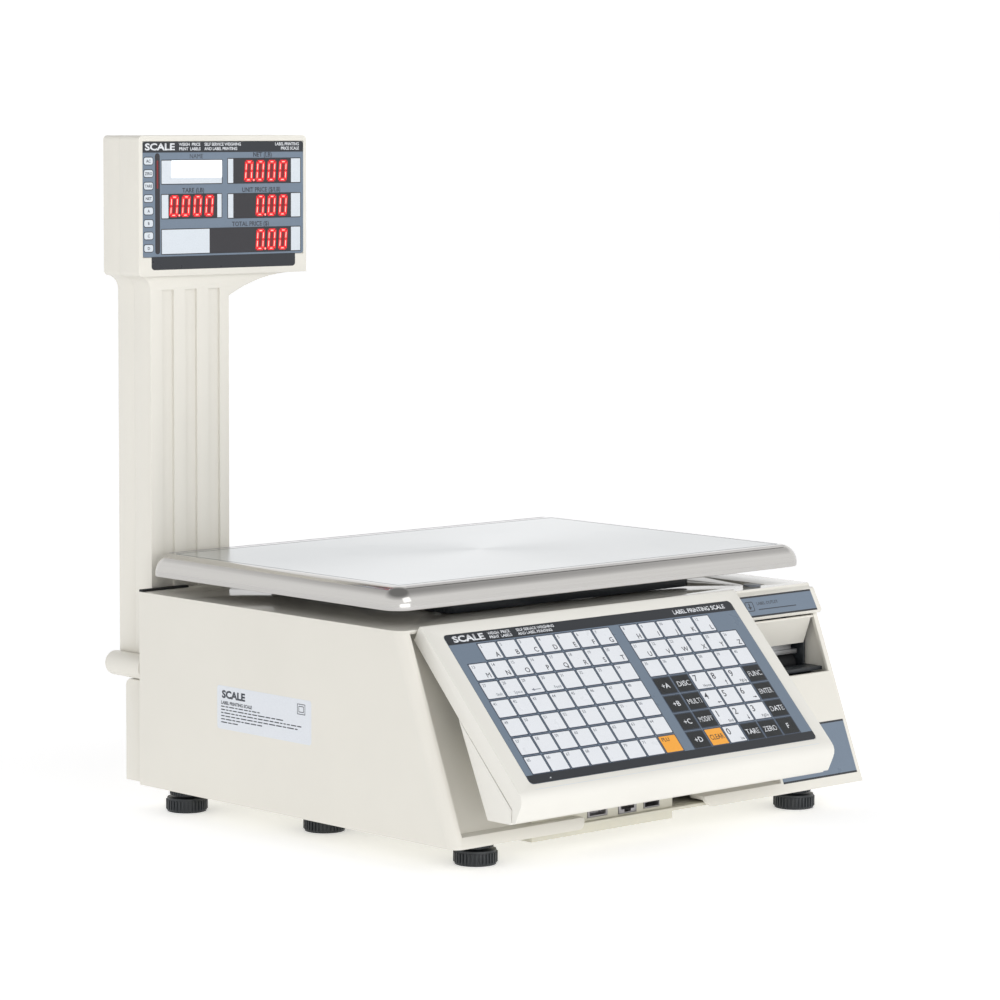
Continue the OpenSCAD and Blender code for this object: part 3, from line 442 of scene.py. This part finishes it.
class Piece:
    """Geometry in a face's own millimetres, gathered into one Blender object."""

    def __init__(self):
        self.mesh = bmesh.new()

    def ring(self, outline, z):
        return [self.mesh.verts.new((x, y, z)) for x, y in outline]

    def skin(self, low, high):
        count = len(low)
        for i in range(count):
            k = (i + 1) % count
            self.mesh.faces.new((low[i], low[k], high[k], high[i]))

    def plate(self, outline, low, high, chamfer=0.0):
        """A prism on an anticlockwise outline, with its upper edge chamfered."""
        bottom = self.ring(outline, low)
        self.mesh.faces.new(list(reversed(bottom)))
        if chamfer:
            shoulder = self.ring(outline, high - chamfer)
            top = self.ring(inward(outline, chamfer), high)
            self.skin(bottom, shoulder)
            self.skin(shoulder, top)
        else:
            top = self.ring(outline, high)
            self.skin(bottom, top)
        self.mesh.faces.new(top)
        return self

    def hoop(self, outline, width, low, high):
        """A raised line of a given width just inside an outline."""
        inner = inward(outline, width)
        loops = [self.ring(o, z) for o, z in ((outline, low), (outline, high), (inner, high), (inner, low))]
        for i in range(4):
            self.skin(loops[i], loops[(i + 1) % 4])
        return self

    def text(
        self, words, x, y, height, low=0.0, thick=0.03, align="CENTER", width=None, bold=0.0, stretch=False
    ):
        """Lettering with its capitals a given height, centred on y, fitted to a width if one is given."""
        curve = bpy.data.curves.new("words", "FONT")
        curve.body = words
        curve.size = height / CAP_HEIGHT
        curve.align_x = align
        curve.offset = 0.0 if "M" in words else bold  # an offset closes up the letter M
        curve.resolution_u = 3
        holder = bpy.data.objects.new("words", curve)
        mesh = holder.to_mesh()
        flat = bmesh.new()
        flat.from_mesh(mesh)
        holder.to_mesh_clear()
        bpy.data.objects.remove(holder)
        bpy.data.curves.remove(curve)
        bmesh.ops.dissolve_limit(flat, angle_limit=0.01, verts=flat.verts, edges=flat.edges)
        reach = max(v.co.x for v in flat.verts) - min(v.co.x for v in flat.verts)
        squeeze = width / reach if width and (stretch or reach > width) else 1.0
        rise = bmesh.ops.extrude_face_region(flat, geom=flat.faces[:])["geom"]
        for v in rise:
            if isinstance(v, bmesh.types.BMVert):
                v.co.z += thick
        bmesh.ops.recalc_face_normals(flat, faces=flat.faces)
        moved = Matrix.Translation((x, y - height / 2, low)) @ Matrix.Diagonal((squeeze, 1, 1, 1))
        flat.transform(moved)
        part = bpy.data.meshes.new("part")
        flat.to_mesh(part)
        flat.free()
        self.mesh.from_mesh(part)
        bpy.data.meshes.remove(part)
        return self

    def done(self, name, face, mat, body="base", slot=None, smooth=False):
        self.mesh.transform(face)
        data = bpy.data.meshes.new(name)
        self.mesh.to_mesh(data)
        self.mesh.free()
        data.materials.append(mat)
        obj = bpy.data.objects.new(name, data)
        bpy.context.scene.collection.objects.link(obj)
        if smooth:
            shade(obj)
        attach(obj, body)
        return obj


# ---------------------------------------------------------------- keypad

KEY_TOP = (0, -108.7, 152.2)
KEY_TILT = math.radians(45.99)
KEYPAD = plane(KEY_TOP, (1, 0, 0), (0, math.cos(KEY_TILT), math.sin(KEY_TILT)))
OVERLAY = (-163.6, 98.8, 9.8, 126.8)
KEY_W, KEY_L = 14.8, 12.5
PITCH_X, PITCH_S = 17.0, 14.65
KEY_LEFT, KEY_START, BLOCK_GAP = -157.0, 19.4, 8.6
KEY_PROUD = 0.12
KEY_RIM = 0.85
HEAD_BAND, FOOT_BAND, OVERLAY_CORNER = 8.0, 6.2, 3
INK = 0.04
FILM = 0.03
PATCH_TOP = KEY_PROUD + FILM
ROWS, COLUMNS, LEFT_COLUMNS = 7, 14, 8

MOVING = {
    (10, 3): "key_7", (11, 3): "key_8", (12, 3): "key_9",
    (10, 4): "key_4", (11, 4): "key_5", (12, 4): "key_6",
    (10, 5): "key_1", (11, 5): "key_2", (12, 5): "key_3",
    (10, 6): "key_0", (9, 3): "key_discount", (9, 4): "key_multiply",
    (9, 5): "key_modify", (9, 6): "key_clear", (11, 6): "key_tare",
    (12, 6): "key_zero", (13, 3): "key_function", (13, 4): "key_enter", (13, 5): "key_date",
}
DARK_WORDS = {
    (8, 3): "+A", (8, 4): "+B", (8, 5): "+C", (8, 6): "+D", (13, 6): "F",
    (9, 3): "DISC", (9, 4): "MULTI", (9, 5): "MODIFY", (11, 6): "TARE", (12, 6): "ZERO",
    (13, 3): "FUNC", (13, 4): "ENTER", (13, 5): "DATE",
}
ORANGE_WORDS = {(7, 6): "PLU", (9, 6): "CLEAR"}
PRESET_WORDS = {27: "Shift", 28: "Space", 30: "Feed"}
PRESET_ARROW = 29


def key_corner(col, row):
    """Lower left corner of a key on the slope."""
    x = KEY_LEFT + PITCH_X * col + (BLOCK_GAP if col >= LEFT_COLUMNS else 0)
    return x, -(KEY_START + PITCH_S * row) - KEY_L


def has_key(col, row):
    return row > 0 or 1 <= col <= 12


def preset_numbers():
    """Numbers of the printed keys, in reading order: the left block's rows run on to row three."""
    numbers = {}
    count = 0
    for row in range(3):
        for col in range(COLUMNS):
            if has_key(col, row):
                count += 1
                numbers[col, row] = count
    for row in range(3, ROWS):
        for col in range(LEFT_COLUMNS):
            if (col, row) not in ORANGE_WORDS:
                count += 1
                numbers[col, row] = count
    return numbers


def keypad_bands():
    """The dark bands at the head and the foot of the overlay."""
    left, right, start, end = OVERLAY
    bands = Piece()
    head_low = -start - HEAD_BAND
    head = rectangle(left, head_low, right, -start, OVERLAY_CORNER)
    bands.plate([(left, head_low), (right, head_low)] + head[5:15], 0, INK)
    foot_high = -end + FOOT_BAND
    foot = rectangle(left, -end, right, foot_high, OVERLAY_CORNER)
    bands.plate(foot[15:] + foot[:5] + [(right, foot_high), (left, foot_high)], 0, INK)
    bands.done("keypad_bands", KEYPAD, print_dark, slot="keypad_print")


def around_key(x, y, margin):
    return rectangle(x - margin, y - margin, x + KEY_W + margin, y + KEY_L + margin, 0.5, 2)


def keypad_keys():
    """A dark outline round every key, and the face of each key that is fixed."""
    rims = Piece()
    white, dark, orange = Piece(), Piece(), Piece()
    for row in range(ROWS):
        for col in range(COLUMNS):
            if not has_key(col, row):
                continue
            x, y = key_corner(col, row)
            rims.hoop(around_key(x, y, KEY_RIM), 0.8, 0, FILM)
            if (col, row) in MOVING:
                continue
            kind = dark if (col, row) in DARK_WORDS else orange if (col, row) in ORANGE_WORDS else white
            kind.plate(around_key(x, y, 0.02), 0.0, PATCH_TOP, 0.06)
    rims.done("keypad_key_outlines", KEYPAD, print_rim, slot="keypad_print")
    white.done("keypad_preset_keys", KEYPAD, print_white, slot="key_white")
    dark.done("keypad_fixed_function_keys", KEYPAD, print_key_dark, slot="key_dark")
    orange.done("keypad_lookup_key", KEYPAD, print_orange, slot="key_orange")


SLOGANS = (("WEIGH  PRICE", "PRINT  LABELS"), ("SELF SERVICE WEIGHING", "AND LABEL PRINTING"))
LINE_PITCH = 3.0


def slogans(piece, x, y, height, places):
    """The two small two-line slogans of a head band; places are each one's (offset, width)."""
    for n, (lines, (shift, width)) in enumerate(zip(SLOGANS, places)):
        for i, words in enumerate(lines):
            narrow = 2 * i if n else 0
            piece.text(
                words, x + shift, y - LINE_PITCH * i, height, INK,
                align="LEFT", width=width - narrow, bold=0.07,
            )


def preset_lettering():
    """A number on every preset key, and a letter, a word or an arrow on some."""
    letters = "ABCDEFGHIJKLMNOPQRSTUVWXYZ"
    arrow = [(4.6, 2.4), (7.2, 1.3), (7.2, 2.15), (12.6, 2.15), (12.6, 2.65), (7.2, 2.65), (7.2, 3.5)]
    small, large = Piece(), Piece()
    for (col, row), number in preset_numbers().items():
        x, y = key_corner(col, row)
        small.text(str(number), x + 1.0, y + KEY_L - 2.2, 2.3, PATCH_TOP, align="LEFT", bold=0.03)
        right = x + KEY_W
        if number <= len(letters):
            large.text(letters[number - 1], right - 1.5, y + 3.1, 3.9, PATCH_TOP, align="RIGHT", bold=0.05)
        elif number in PRESET_WORDS:
            small.text(PRESET_WORDS[number], right - 1.2, y + 2.4, 2.3, PATCH_TOP, align="RIGHT", width=9.5)
        elif number == PRESET_ARROW:
            small.plate([(x + px, y + py) for px, py in arrow], PATCH_TOP, PATCH_TOP + FILM)
    small.done("keypad_numbers", KEYPAD, print_grey, slot="key_dark")
    large.done("keypad_letters", KEYPAD, print_ink, slot="key_dark")


def key_word(piece, x, y, words, level, bold):
    """A word in the middle of a key."""
    return piece.text(words, x + KEY_W / 2, y + KEY_L / 2, 4.2, level, width=KEY_W - 2.4, bold=bold)


def function_lettering():
    """White words on the dark keys; the word on a moving key rides it."""
    fixed = Piece()
    for place, words in DARK_WORDS.items():
        name = MOVING.get(place)
        piece = Piece() if name else fixed
        key_word(piece, *key_corner(*place), words, KEY_PROUD if name else PATCH_TOP, 0.06)
        if name:
            piece.done(name + "_word", KEYPAD, print_white, name, "key_white")
    fixed.done("keypad_fixed_words", KEYPAD, print_white, slot="key_white")


def function_rings():
    """Two embossed rings on every dark key."""
    emboss = Piece()
    for place in DARK_WORDS:
        x, y = key_corner(*place)
        name = MOVING.get(place)
        piece = Piece() if name else emboss
        level = KEY_PROUD if name else PATCH_TOP
        for radius in (5.9, 4.4):
            piece.hoop(circle(x + KEY_W / 2, y + KEY_L / 2, radius, 32), 0.22, level, level + 0.05)
        if name:
            piece.done(name + "_ring", KEYPAD, print_key_dark, name, "key_dark")
    emboss.done("keypad_fixed_rings", KEYPAD, print_key_dark, slot="key_dark")


def orange_lettering():
    """Brown words on the two orange keys."""
    key_word(Piece(), *key_corner(9, 6), "CLEAR", KEY_PROUD, 0.05).done(
        "key_clear_word", KEYPAD, print_brown, "key_clear", "key_dark")
    x, y = key_corner(7, 6)
    Piece().text("PLU", x + 1.3, y + KEY_L - 2.6, 3.0, PATCH_TOP, align="LEFT", bold=0.05).done(
        "keypad_lookup_word", KEYPAD, print_brown, slot="key_dark")


def digit_lettering():
    """A digit on each moving digit key, with the small hint or arrow of a cursor key."""
    arrow = [(-1.9, -0.25), (0.3, -0.25), (0.3, -0.8), (1.9, 0), (0.3, 0.8), (0.3, 0.25), (-1.9, 0.25)]
    hints = {"7": "Home", "9": "PgUp", "1": "End", "3": "PgDn", "0": "Ins"}
    arrows = {"8": 90, "2": -90, "4": 180, "6": 0}
    for place, name in MOVING.items():
        digit = name[-1]
        if not digit.isdigit():
            continue
        x, y = key_corner(*place)
        piece = Piece().text(digit, x + 1.4, y + KEY_L - 3.7, 5.2, KEY_PROUD, align="LEFT", bold=0.04)
        if digit in hints:
            piece.text(hints[digit], x + KEY_W - 1.0, y + 2.2, 2.2, KEY_PROUD, align="RIGHT", width=8.5)
        if digit in arrows:
            turn = Matrix.Rotation(math.radians(arrows[digit]), 2)
            points = [turn @ Vector(p) for p in arrow]
            piece.plate([(x + KEY_W - 3.2 + p.x, y + 2.6 + p.y) for p in points], KEY_PROUD, PATCH_TOP)
        piece.done(name + "_word", KEYPAD, print_ink, name, "key_dark")


def overlay_title():
    """Words on the head band, the lamp's dot on the foot band and a painted shading line below it, where the
    bezel has a faint step.
    """
    title = Piece()
    left, right, start, end = OVERLAY
    title.text("LABEL PRINTING SCALE", right - 8, -start - 3.8, 3.4, INK, align="RIGHT", width=64, bold=0.12)
    title.text("SCALE", left + 6, -start - 3.8, 4.8, INK, align="LEFT", width=27, bold=0.24, stretch=True)
    slogans(title, left, -start - 2.4, 2.2, ((37, 21), (62, 43)))
    title.plate(circle(left + 18.6, -end + 2.5, 0.5, 12), INK, 2 * INK)
    title.done("keypad_title", KEYPAD, print_white, slot="key_white")
    # A thin blue-grey film line, painted as the shading of the bezel's faint step; it is not print.
    Piece().plate(rectangle(left + 1, -end - 4.4, right - 1, -end - 4.1), 0, FILM).done(
        "bezel_step_painted_shading", KEYPAD, print_window, slot="keypad_print")


keypad_bands()
keypad_keys()
preset_lettering()
function_lettering()
function_rings()
orange_lettering()
digit_lettering()
overlay_title()

# ---------------------------------------------------------------- displays

WINDOW_LOW, WINDOW_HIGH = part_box("display_window")
CUSTOMER_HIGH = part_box("customer_window")[1]
FRONT = plane((0, WINDOW_LOW.y / MM, 0), (1, 0, 0), (0, 0, 1))
BACK = plane((0, CUSTOMER_HIGH.y / MM, 0), (-1, 0, 0), (0, 0, 1))
HEAD_MIDDLE = (WINDOW_LOW.x + WINDOW_HIGH.x) / 2 / MM
DIGIT_H = 13.5
DIGIT_W = 6.3
DIGIT_PITCH = 10.15
DIGIT_LEAN = math.tan(math.radians(4))

# Caption, window corners, right end of the number, digits, white margins, caption's middle
WINDOWS = (
    ("NAME", (-171.5, 424.2, -119.4, 439.8), None, 0, 0, 0, -141.5),
    ("NET (LB)", (-114.0, 424.2, -49.5, 440.6), -62.0, 4, 4.6, 8.3, -83.4),
    ("TARE (LB)", (-171.5, 401.0, -119.7, 416.8), -127.3, 4, 5.7, 3.7, -144.2),
    ("UNIT PRICE ($/LB)", (-114.0, 400.4, -49.5, 416.6), -62.0, 3, 4.6, 8.3, -84.4),
    ("TOTAL PRICE ($)", (-171.5, 377.0, -49.5, 393.3), -62.0, 3, 41.2, 8.3, -94.0),
)
INDICATORS = ("AC", "ZERO", "TARE", "NET", "A", "B", "C", "D")
SHEET_LEFT, SHEET_RIGHT, SHEET_HIGH = -187.5, -46.9, 452.5
BAND_LOW, TAB_HIGH = 445.2, 375.2
BAND_LINE = 450.7
INDICATOR_TOP, INDICATOR_PITCH = 439.6, 8.36


def leaning(outline, x, y):
    return [(x + px + (py - DIGIT_H / 2) * DIGIT_LEAN, y + py) for px, py in outline]


def nought():
    """The six lit segments of a nought, in a digit's own corner frame."""
    w, h, t = DIGIT_W, DIGIT_H, 1.25
    foot = [(t, 0), (w - t, 0), (w - 1.6 * t, t), (1.6 * t, t)]
    side = [(0, 0.9 * t), (t, 1.6 * t), (t, h / 2 - 0.9), (t / 2, h / 2 - 0.4), (0, h / 2 - 0.9)]
    quarter = [foot, side]
    top = [[(x, h - y) for x, y in reversed(o)] for o in quarter]
    right = [[(w - x, y) for x, y in reversed(o)] for o in (side, top[1])]
    return quarter + top + right


class Display:
    """The printing and the lit numbers on one side of the head."""

    def __init__(self, face, prefix, mirrored):
        self.face = face
        self.prefix = prefix
        self.shift = -2 * HEAD_MIDDLE if mirrored else 0
        names = ("dark", "pale", "glass", "halo", "glow", "core", "lcd", "words", "ink")
        self.layers = {name: Piece() for name in names}
        self.header()
        self.indicators()
        for window in WINDOWS:
            self.window(*window)
        self.finish()

    def box(self, x0, z0, x1, z1, r=0.0, steps=4):
        return rectangle(x0 + self.shift, z0, x1 + self.shift, z1, r, steps)

    def header(self):
        dark, words = self.layers["dark"], self.layers["words"]
        band = self.box(SHEET_LEFT, BAND_LOW, SHEET_RIGHT, SHEET_HIGH, 2)
        dark.plate([(band[14][0], BAND_LOW), (band[5][0], BAND_LOW)] + band[5:15], 0, INK)
        tab = self.box(-180.4, 366.3, -54.2, TAB_HIGH, 2.4)
        dark.plate(tab[15:] + tab[:5] + [(tab[4][0], TAB_HIGH), (tab[15][0], TAB_HIGH)], -0.3, 0.2, 0.08)
        x = self.shift
        words.text("SCALE", x - 185.6, 449.2, 4.6, INK, align="LEFT", width=25.5, bold=0.22, stretch=True)
        slogans(words, x, BAND_LINE, 2.1, ((-156.5, 20), (-134.5, 39)))
        for i, line in enumerate(("LABEL PRINTING", "PRICE SCALE")):
            z = BAND_LINE - LINE_PITCH * i
            words.text(line, x - 50.6, z, 2.1, INK, align="RIGHT", width=25.5, bold=0.07)

    def indicators(self):
        layers = self.layers
        for i, word in enumerate(INDICATORS):
            z = INDICATOR_TOP - INDICATOR_PITCH * i
            box = self.box(-186.5, z - 2.35, -179.0, z + 2.35, 1.4, 3)
            layers["dark"].plate(inward(box, -0.5), 0, 0.03)
            layers["pale"].plate(box, 0.02, 0.22, 0.1)
            layers["ink"].text(word, self.shift - 182.75, z, 2.0, 0.22, width=6.2, bold=0.05)
        layers["glass"].plate(self.box(-177.1, 376.9, -173.0, 444.8, 2.0), 0, 0.04)
        layers["halo"].plate(self.box(-175.7, 421, -174.4, 440, 0.6), 0.04, 0.06)

    def window(self, caption, corners, end, digits, near, far, middle):
        left, low, right, high = corners
        layers = self.layers
        layers["dark"].plate(self.box(left - 0.6, low - 0.6, right + 0.6, high + 0.6, 0.8, 2), 0, 0.03)
        if end is None:
            layers["pale"].plate(self.box(left, low, right, high), 0.02, 0.05)
            layers["lcd"].plate(self.box(left + 8.2, low + 3.9, right + 0.2, high + 0.1, 0.6, 2), 0.05, 0.07)
        else:
            layers["glass"].plate(self.box(left, low, right, high), 0.02, 0.045)
            layers["pale"].plate(self.box(left, low, left + near, high), 0.03, 0.06)
            layers["pale"].plate(self.box(right - far, low, right, high), 0.03, 0.06)
            self.number(end, low + 1.3, digits)
        layers["ink"].text(caption, self.shift + middle, high + 2.95, 3.2, 0.0, width=34, bold=0.08)

    def number(self, end, low, digits):
        """A row of lit noughts that stops at end, with a point after the first."""
        layers = self.layers
        for i in range(digits):
            x = self.shift + end - DIGIT_W - DIGIT_PITCH * (digits - 1 - i)
            behind = rectangle(-1.0, -0.8, DIGIT_W + 1.0, DIGIT_H + 0.8, 1.6, 3)
            layers["halo"].plate(leaning(behind, x, low), 0.05, 0.07)
            for outline in nought():
                layers["glow"].plate(leaning(inward(outline, -0.45), x, low), 0.07, 0.10)
                layers["core"].plate(leaning(inward(outline, 0.34), x, low), 0.10, 0.13)
            if i == 0:
                layers["glow"].plate(circle(x + DIGIT_W + 1.2, low + 0.5, 0.95, 12), 0.08, 0.10)
                layers["core"].plate(circle(x + DIGIT_W + 1.2, low + 0.5, 0.55, 12), 0.10, 0.13)

    def finish(self):
        looks = {
            "dark": (print_dark, "display_print"), "pale": (print_window, "key_white"),
            "glass": (panel_dark, "display_print"), "halo": (led_halo, "display_print"),
            "glow": (led_red, "display_print"), "core": (led_core, "display_print"),
            "lcd": (lcd_white, "display_print"), "words": (print_white, "key_white"),
            "ink": (print_ink, "key_dark"),
        }
        for name, piece in self.layers.items():
            mat, slot = looks[name]
            piece.done(self.prefix + "_" + name, self.face, mat, slot=slot)


Display(FRONT, "display", False)
Display(BACK, "customer", True)

# ---------------------------------------------------------------- labels


NOSE_TOP = (-108.8, 145.5)
NOSE_BOTTOM = (-116.6, 131.6)
FRONT_TOP = (-104.8, 149)
FRONT_BOTTOM = (-157.5, 16.7)


def front_place(z):
    """A place on the housing's sloped front, as (y, z)."""
    lean = (FRONT_TOP[0] - FRONT_BOTTOM[0]) / (FRONT_TOP[1] - FRONT_BOTTOM[1])
    return (FRONT_TOP[0] - lean * (FRONT_TOP[1] - z), z)


def side_by(a, b, x):
    """The frame of a face that spans X and runs up from point b to point a, both as (y, z)."""
    return plane((x, b[0], b[1]), (1, 0, 0), (0, a[0] - b[0], a[1] - b[1]))


EDGE_LINE = 1.3
MARK_LOW, MARK_HIGH = 0.05, 0.09


def striped_strip(name, face, width, height):
    """A blue-grey strip with a dark line along its upper and its lower edge."""
    Piece().plate(rectangle(0, 0, width, height, 0.4, 2), 0.01, 0.06).done(
        name, face, print_blue, slot="keypad_print")
    lines = Piece()
    lines.plate(rectangle(0, 0, width, EDGE_LINE), MARK_LOW, MARK_HIGH)
    lines.plate(rectangle(0, height - EDGE_LINE, width, height), MARK_LOW, MARK_HIGH)
    lines.done(name + "_lines", face, print_dark, slot="keypad_print")


def outlet_label():
    """The strip on the nose above the outlet: an arrow in a frame, two words and a ruled line."""
    face = side_by(NOSE_TOP, NOSE_BOTTOM, 113.2)
    width, height, left, reach = 73.4, 15.6, 16.5, 42
    middle = height / 2
    striped_strip("outlet_label", face, width, height)
    marks = Piece()
    marks.hoop(rectangle(5, 4.4, 13, 11.6, 1.2, 3), 0.6, MARK_LOW, MARK_HIGH)
    marks.plate([(9, 5.6), (10.8, 7.8), (7.2, 7.8)], MARK_LOW, MARK_HIGH)
    marks.plate(rectangle(8.5, 7.8, 9.5, 10.4), MARK_LOW, MARK_HIGH)
    marks.text("LABEL OUTLET", left, middle + 1.9, 2.3, MARK_LOW, align="LEFT", width=reach, bold=0.03)
    marks.plate(
        rectangle(left, middle - 2.9, left + reach * 0.9, middle - 2.2, 0.3, 2), MARK_LOW, MARK_HIGH)
    marks.done("outlet_label_marks", face, print_ink, slot="key_dark")


def front_label():
    """The label low on the sloped front, with plain bars in place of words."""
    low, height, width, reach = 22.8, 38, 74.2, 46
    face = side_by(front_place(low + height), front_place(low), 112.5)
    striped_strip("front_label", face, width, height)
    bars = Piece()
    for i, share in enumerate((0.5, 0.8, 1.0)):
        y = height - 8 - 5.5 * i
        bars.plate(rectangle(6, y, 6 + reach * share, y + 1.6, 0.5, 2), MARK_LOW, MARK_HIGH)
    bars.done("front_label_marks", face, print_white, slot="key_white")


def rating_label():
    """Plain white label on the left wall, with ruled lines in place of words."""
    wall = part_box("housing_cover")[0].x / MM
    face = plane((wall, 76, 66), (0, -1, 0), (0, 0, 1))
    width, height = 96, 29
    Piece().plate(rectangle(0, 0, width, height, 2.0), 0.0, 0.1, 0.04).done(
        "rating_label", face, label_white, slot="label_paper")
    marks = Piece()
    marks.text("SCALE", 5, height - 5.4, 5.0, 0.1, align="LEFT", width=24, bold=0.3, stretch=True)
    marks.text("LABEL PRINTING SCALE", 4, height - 11.2, 2.2, 0.1, align="LEFT", bold=0.1)
    for i, reach in enumerate((44, 66, 86, 82, 47, 22)):
        y = height - 14.2 - 2.1 * i
        x = 4.0
        while x < reach:
            step = random.uniform(2.2, 7.0)
            marks.plate(rectangle(x, y, min(x + step, reach + 2), y + 0.75, 0.2, 1), 0.1, 0.12)
            x += step + 0.9
    for inset in (0, 1.4):
        square = rectangle(82 + inset, height - 10 + inset, 90 - inset, height - 3 - inset)
        marks.hoop(square, 0.5, 0.1, 0.12)
    marks.done("rating_label_marks", face, print_ink, slot="key_dark")


outlet_label()
front_label()
rating_label()

# ---------------------------------------------------------------- pan


def pan_ring(mesh, centre, half, corner, inset, z, steps=10):
    """One loop round the pan, a distance inside its outline."""
    r = max(corner - inset, 0.4)
    outline = rectangle(
        centre.x - half.x + inset, centre.y - half.y + inset,
        centre.x + half.x - inset, centre.y + half.y - inset, r, steps,
    )
    return [mesh.verts.new((x, y, z)) for x, y in outline]


def weighing_pan():
    """The pressed sheet pan: flat top, rolled edge, skirt and turned lip, in one loft of loops."""
    low, high = (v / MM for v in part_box("weighing_pan"))
    centre = (low + high) / 2
    half = (high - low) / 2
    corner, roll, drop, sheet, steps = 14.0, 11.5, 12.5, 1.5, 12
    profile = [(sheet + 0.5, low.z + 4), (sheet, low.z + 0.7), (sheet - 0.4, low.z + 0.15)]
    profile += [(0.75, low.z), (0.25, low.z + 0.2), (0.0, low.z + 0.8), (0.0, high.z - drop - 0.6)]
    for i in range(steps + 1):
        a = math.radians(90 * i / steps)
        profile.append((roll * (1 - math.cos(a)), high.z - drop * (1 - math.sin(a))))
    profile += [(roll + 0.8, high.z), (roll + 3, high.z), (corner - 0.4, high.z)]
    piece = Piece()
    mesh = piece.mesh
    loops = [pan_ring(mesh, centre, half, corner, d, z) for d, z in profile]
    for a, b in zip(loops, loops[1:]):
        piece.skin(a, b)
    mesh.faces.new(loops[-1])
    under = pan_ring(mesh, centre, half, corner, sheet + 6, high.z - sheet)
    shoulder = pan_ring(mesh, centre, half, corner, sheet + 0.6, high.z - drop)
    piece.skin(under, shoulder)
    piece.skin(shoulder, loops[0])
    mesh.faces.new(list(reversed(under)))
    obj = piece.done("pan_sheet", Matrix.Scale(MM, 4), pan_steel, "pan", "pan_steel", smooth=True)
    # Every face but the flat top takes the darker roll steel: painted shade on the rolled edge, skirt and
    # underside.
    obj.data.materials.append(roll_steel_painted_shade)
    for face in obj.data.polygons:
        face.material_index = int(face.normal.z < 0.999)
    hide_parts("weighing_pan")

    creases = Piece()
    for side in (-1, 1):
        y = centre.y + side * (half.y - 6.6)
        points = rectangle(-half.x + 14, y - 0.3, half.x - 14, y + 0.3, 0.29, 3)
        creases.plate(points, high.z - 0.2, high.z + 0.06, 0.05)
    creases.done("pan_creases", Matrix.Scale(MM, 4), steel_shadow, "pan", "pan_steel", smooth=True)


weighing_pan()


def column_gasket():
    """A black strip in the rubber finish, where the column's foot meets the deck."""
    strip = Piece()
    strip.plate([(-190.2, 156.8), (-150.5, 156.8), (-150.5, 160.7), (-190.2, 160.7)], 149.0, 150.5, 0.3)
    strip.done("column_gasket", Matrix.Scale(MM, 4), rubber, "base", "rubber_black")


column_gasket()

# ---------------------------------------------------------------- stage


FLOOR_REACH = 12
FLOOR_GLOW = 0.39
SKY_LOW, SKY_HIGH = 1.1, 0.27


def make_stage():
    """A pale floor that glows a little, so that it stays white under the object."""
    m = Mat("floor")
    pale = srgb(246, 246, 247)
    m.set(
        Base_Color=m.colors(m.noise(3, 2.0), (0.3, shaded(pale, 0.99)), (0.7, pale)),
        Roughness=m.ramp(m.noise(5), 0.75, 0.85),
    )
    m.shader.inputs["Emission Color"].default_value = (1, 1, 1, 1)
    m.shader.inputs["Emission Strength"].default_value = FLOOR_GLOW
    mesh = bpy.data.meshes.new("floor")
    corners = rectangle(-FLOOR_REACH, -FLOOR_REACH, FLOOR_REACH, FLOOR_REACH)
    mesh.from_pydata([(x, y, 0) for x, y in corners], [], [(0, 1, 2, 3)])
    floor = bpy.data.objects.new("floor", mesh)
    floor.data.materials.append(m.mat)
    bpy.context.scene.collection.objects.link(floor)


def area_light(name, place, target, size, power):
    data = bpy.data.lights.new(name, "AREA")
    data.shape = "RECTANGLE"
    data.size = size[0]
    data.size_y = size[1]
    data.energy = power
    obj = bpy.data.objects.new(name, data)
    obj.location = place
    obj.rotation_euler = (Vector(target) - Vector(place)).to_track_quat("-Z", "Y").to_euler()
    bpy.context.scene.collection.objects.link(obj)


def make_lights():
    """A sky that is white at the sides and dims towards the top, and two soft lights in front."""
    world = bpy.data.worlds.new("studio")
    world.use_nodes = True
    tree = world.node_tree
    place = tree.nodes.new("ShaderNodeTexCoord").outputs["Generated"]
    split = tree.nodes.new("ShaderNodeSeparateXYZ")
    fall = tree.nodes.new("ShaderNodeMapRange")
    fall.inputs["From Min"].default_value = 0.5
    fall.inputs["From Max"].default_value = 0.85
    fall.inputs["To Min"].default_value = SKY_LOW
    fall.inputs["To Max"].default_value = SKY_HIGH
    tree.links.new(place, split.inputs["Vector"])
    tree.links.new(split.outputs["Z"], fall.inputs["Value"])
    tree.links.new(fall.outputs["Result"], tree.nodes["Background"].inputs["Strength"])
    tree.nodes["Background"].inputs["Color"].default_value = (1, 1, 1, 1)
    bpy.context.scene.world = world
    centre = (0, 0, 0.15)
    area_light("key", (0.3, -2.8, 1.9), centre, (2.4, 1.4), 12.5)
    area_light("low", (-0.4, -2.4, 0.35), (0, -0.1, 0.05), (2.4, 0.5), 7)


make_stage()
make_lights()
bpy.context.scene.view_settings.view_transform = "Standard"
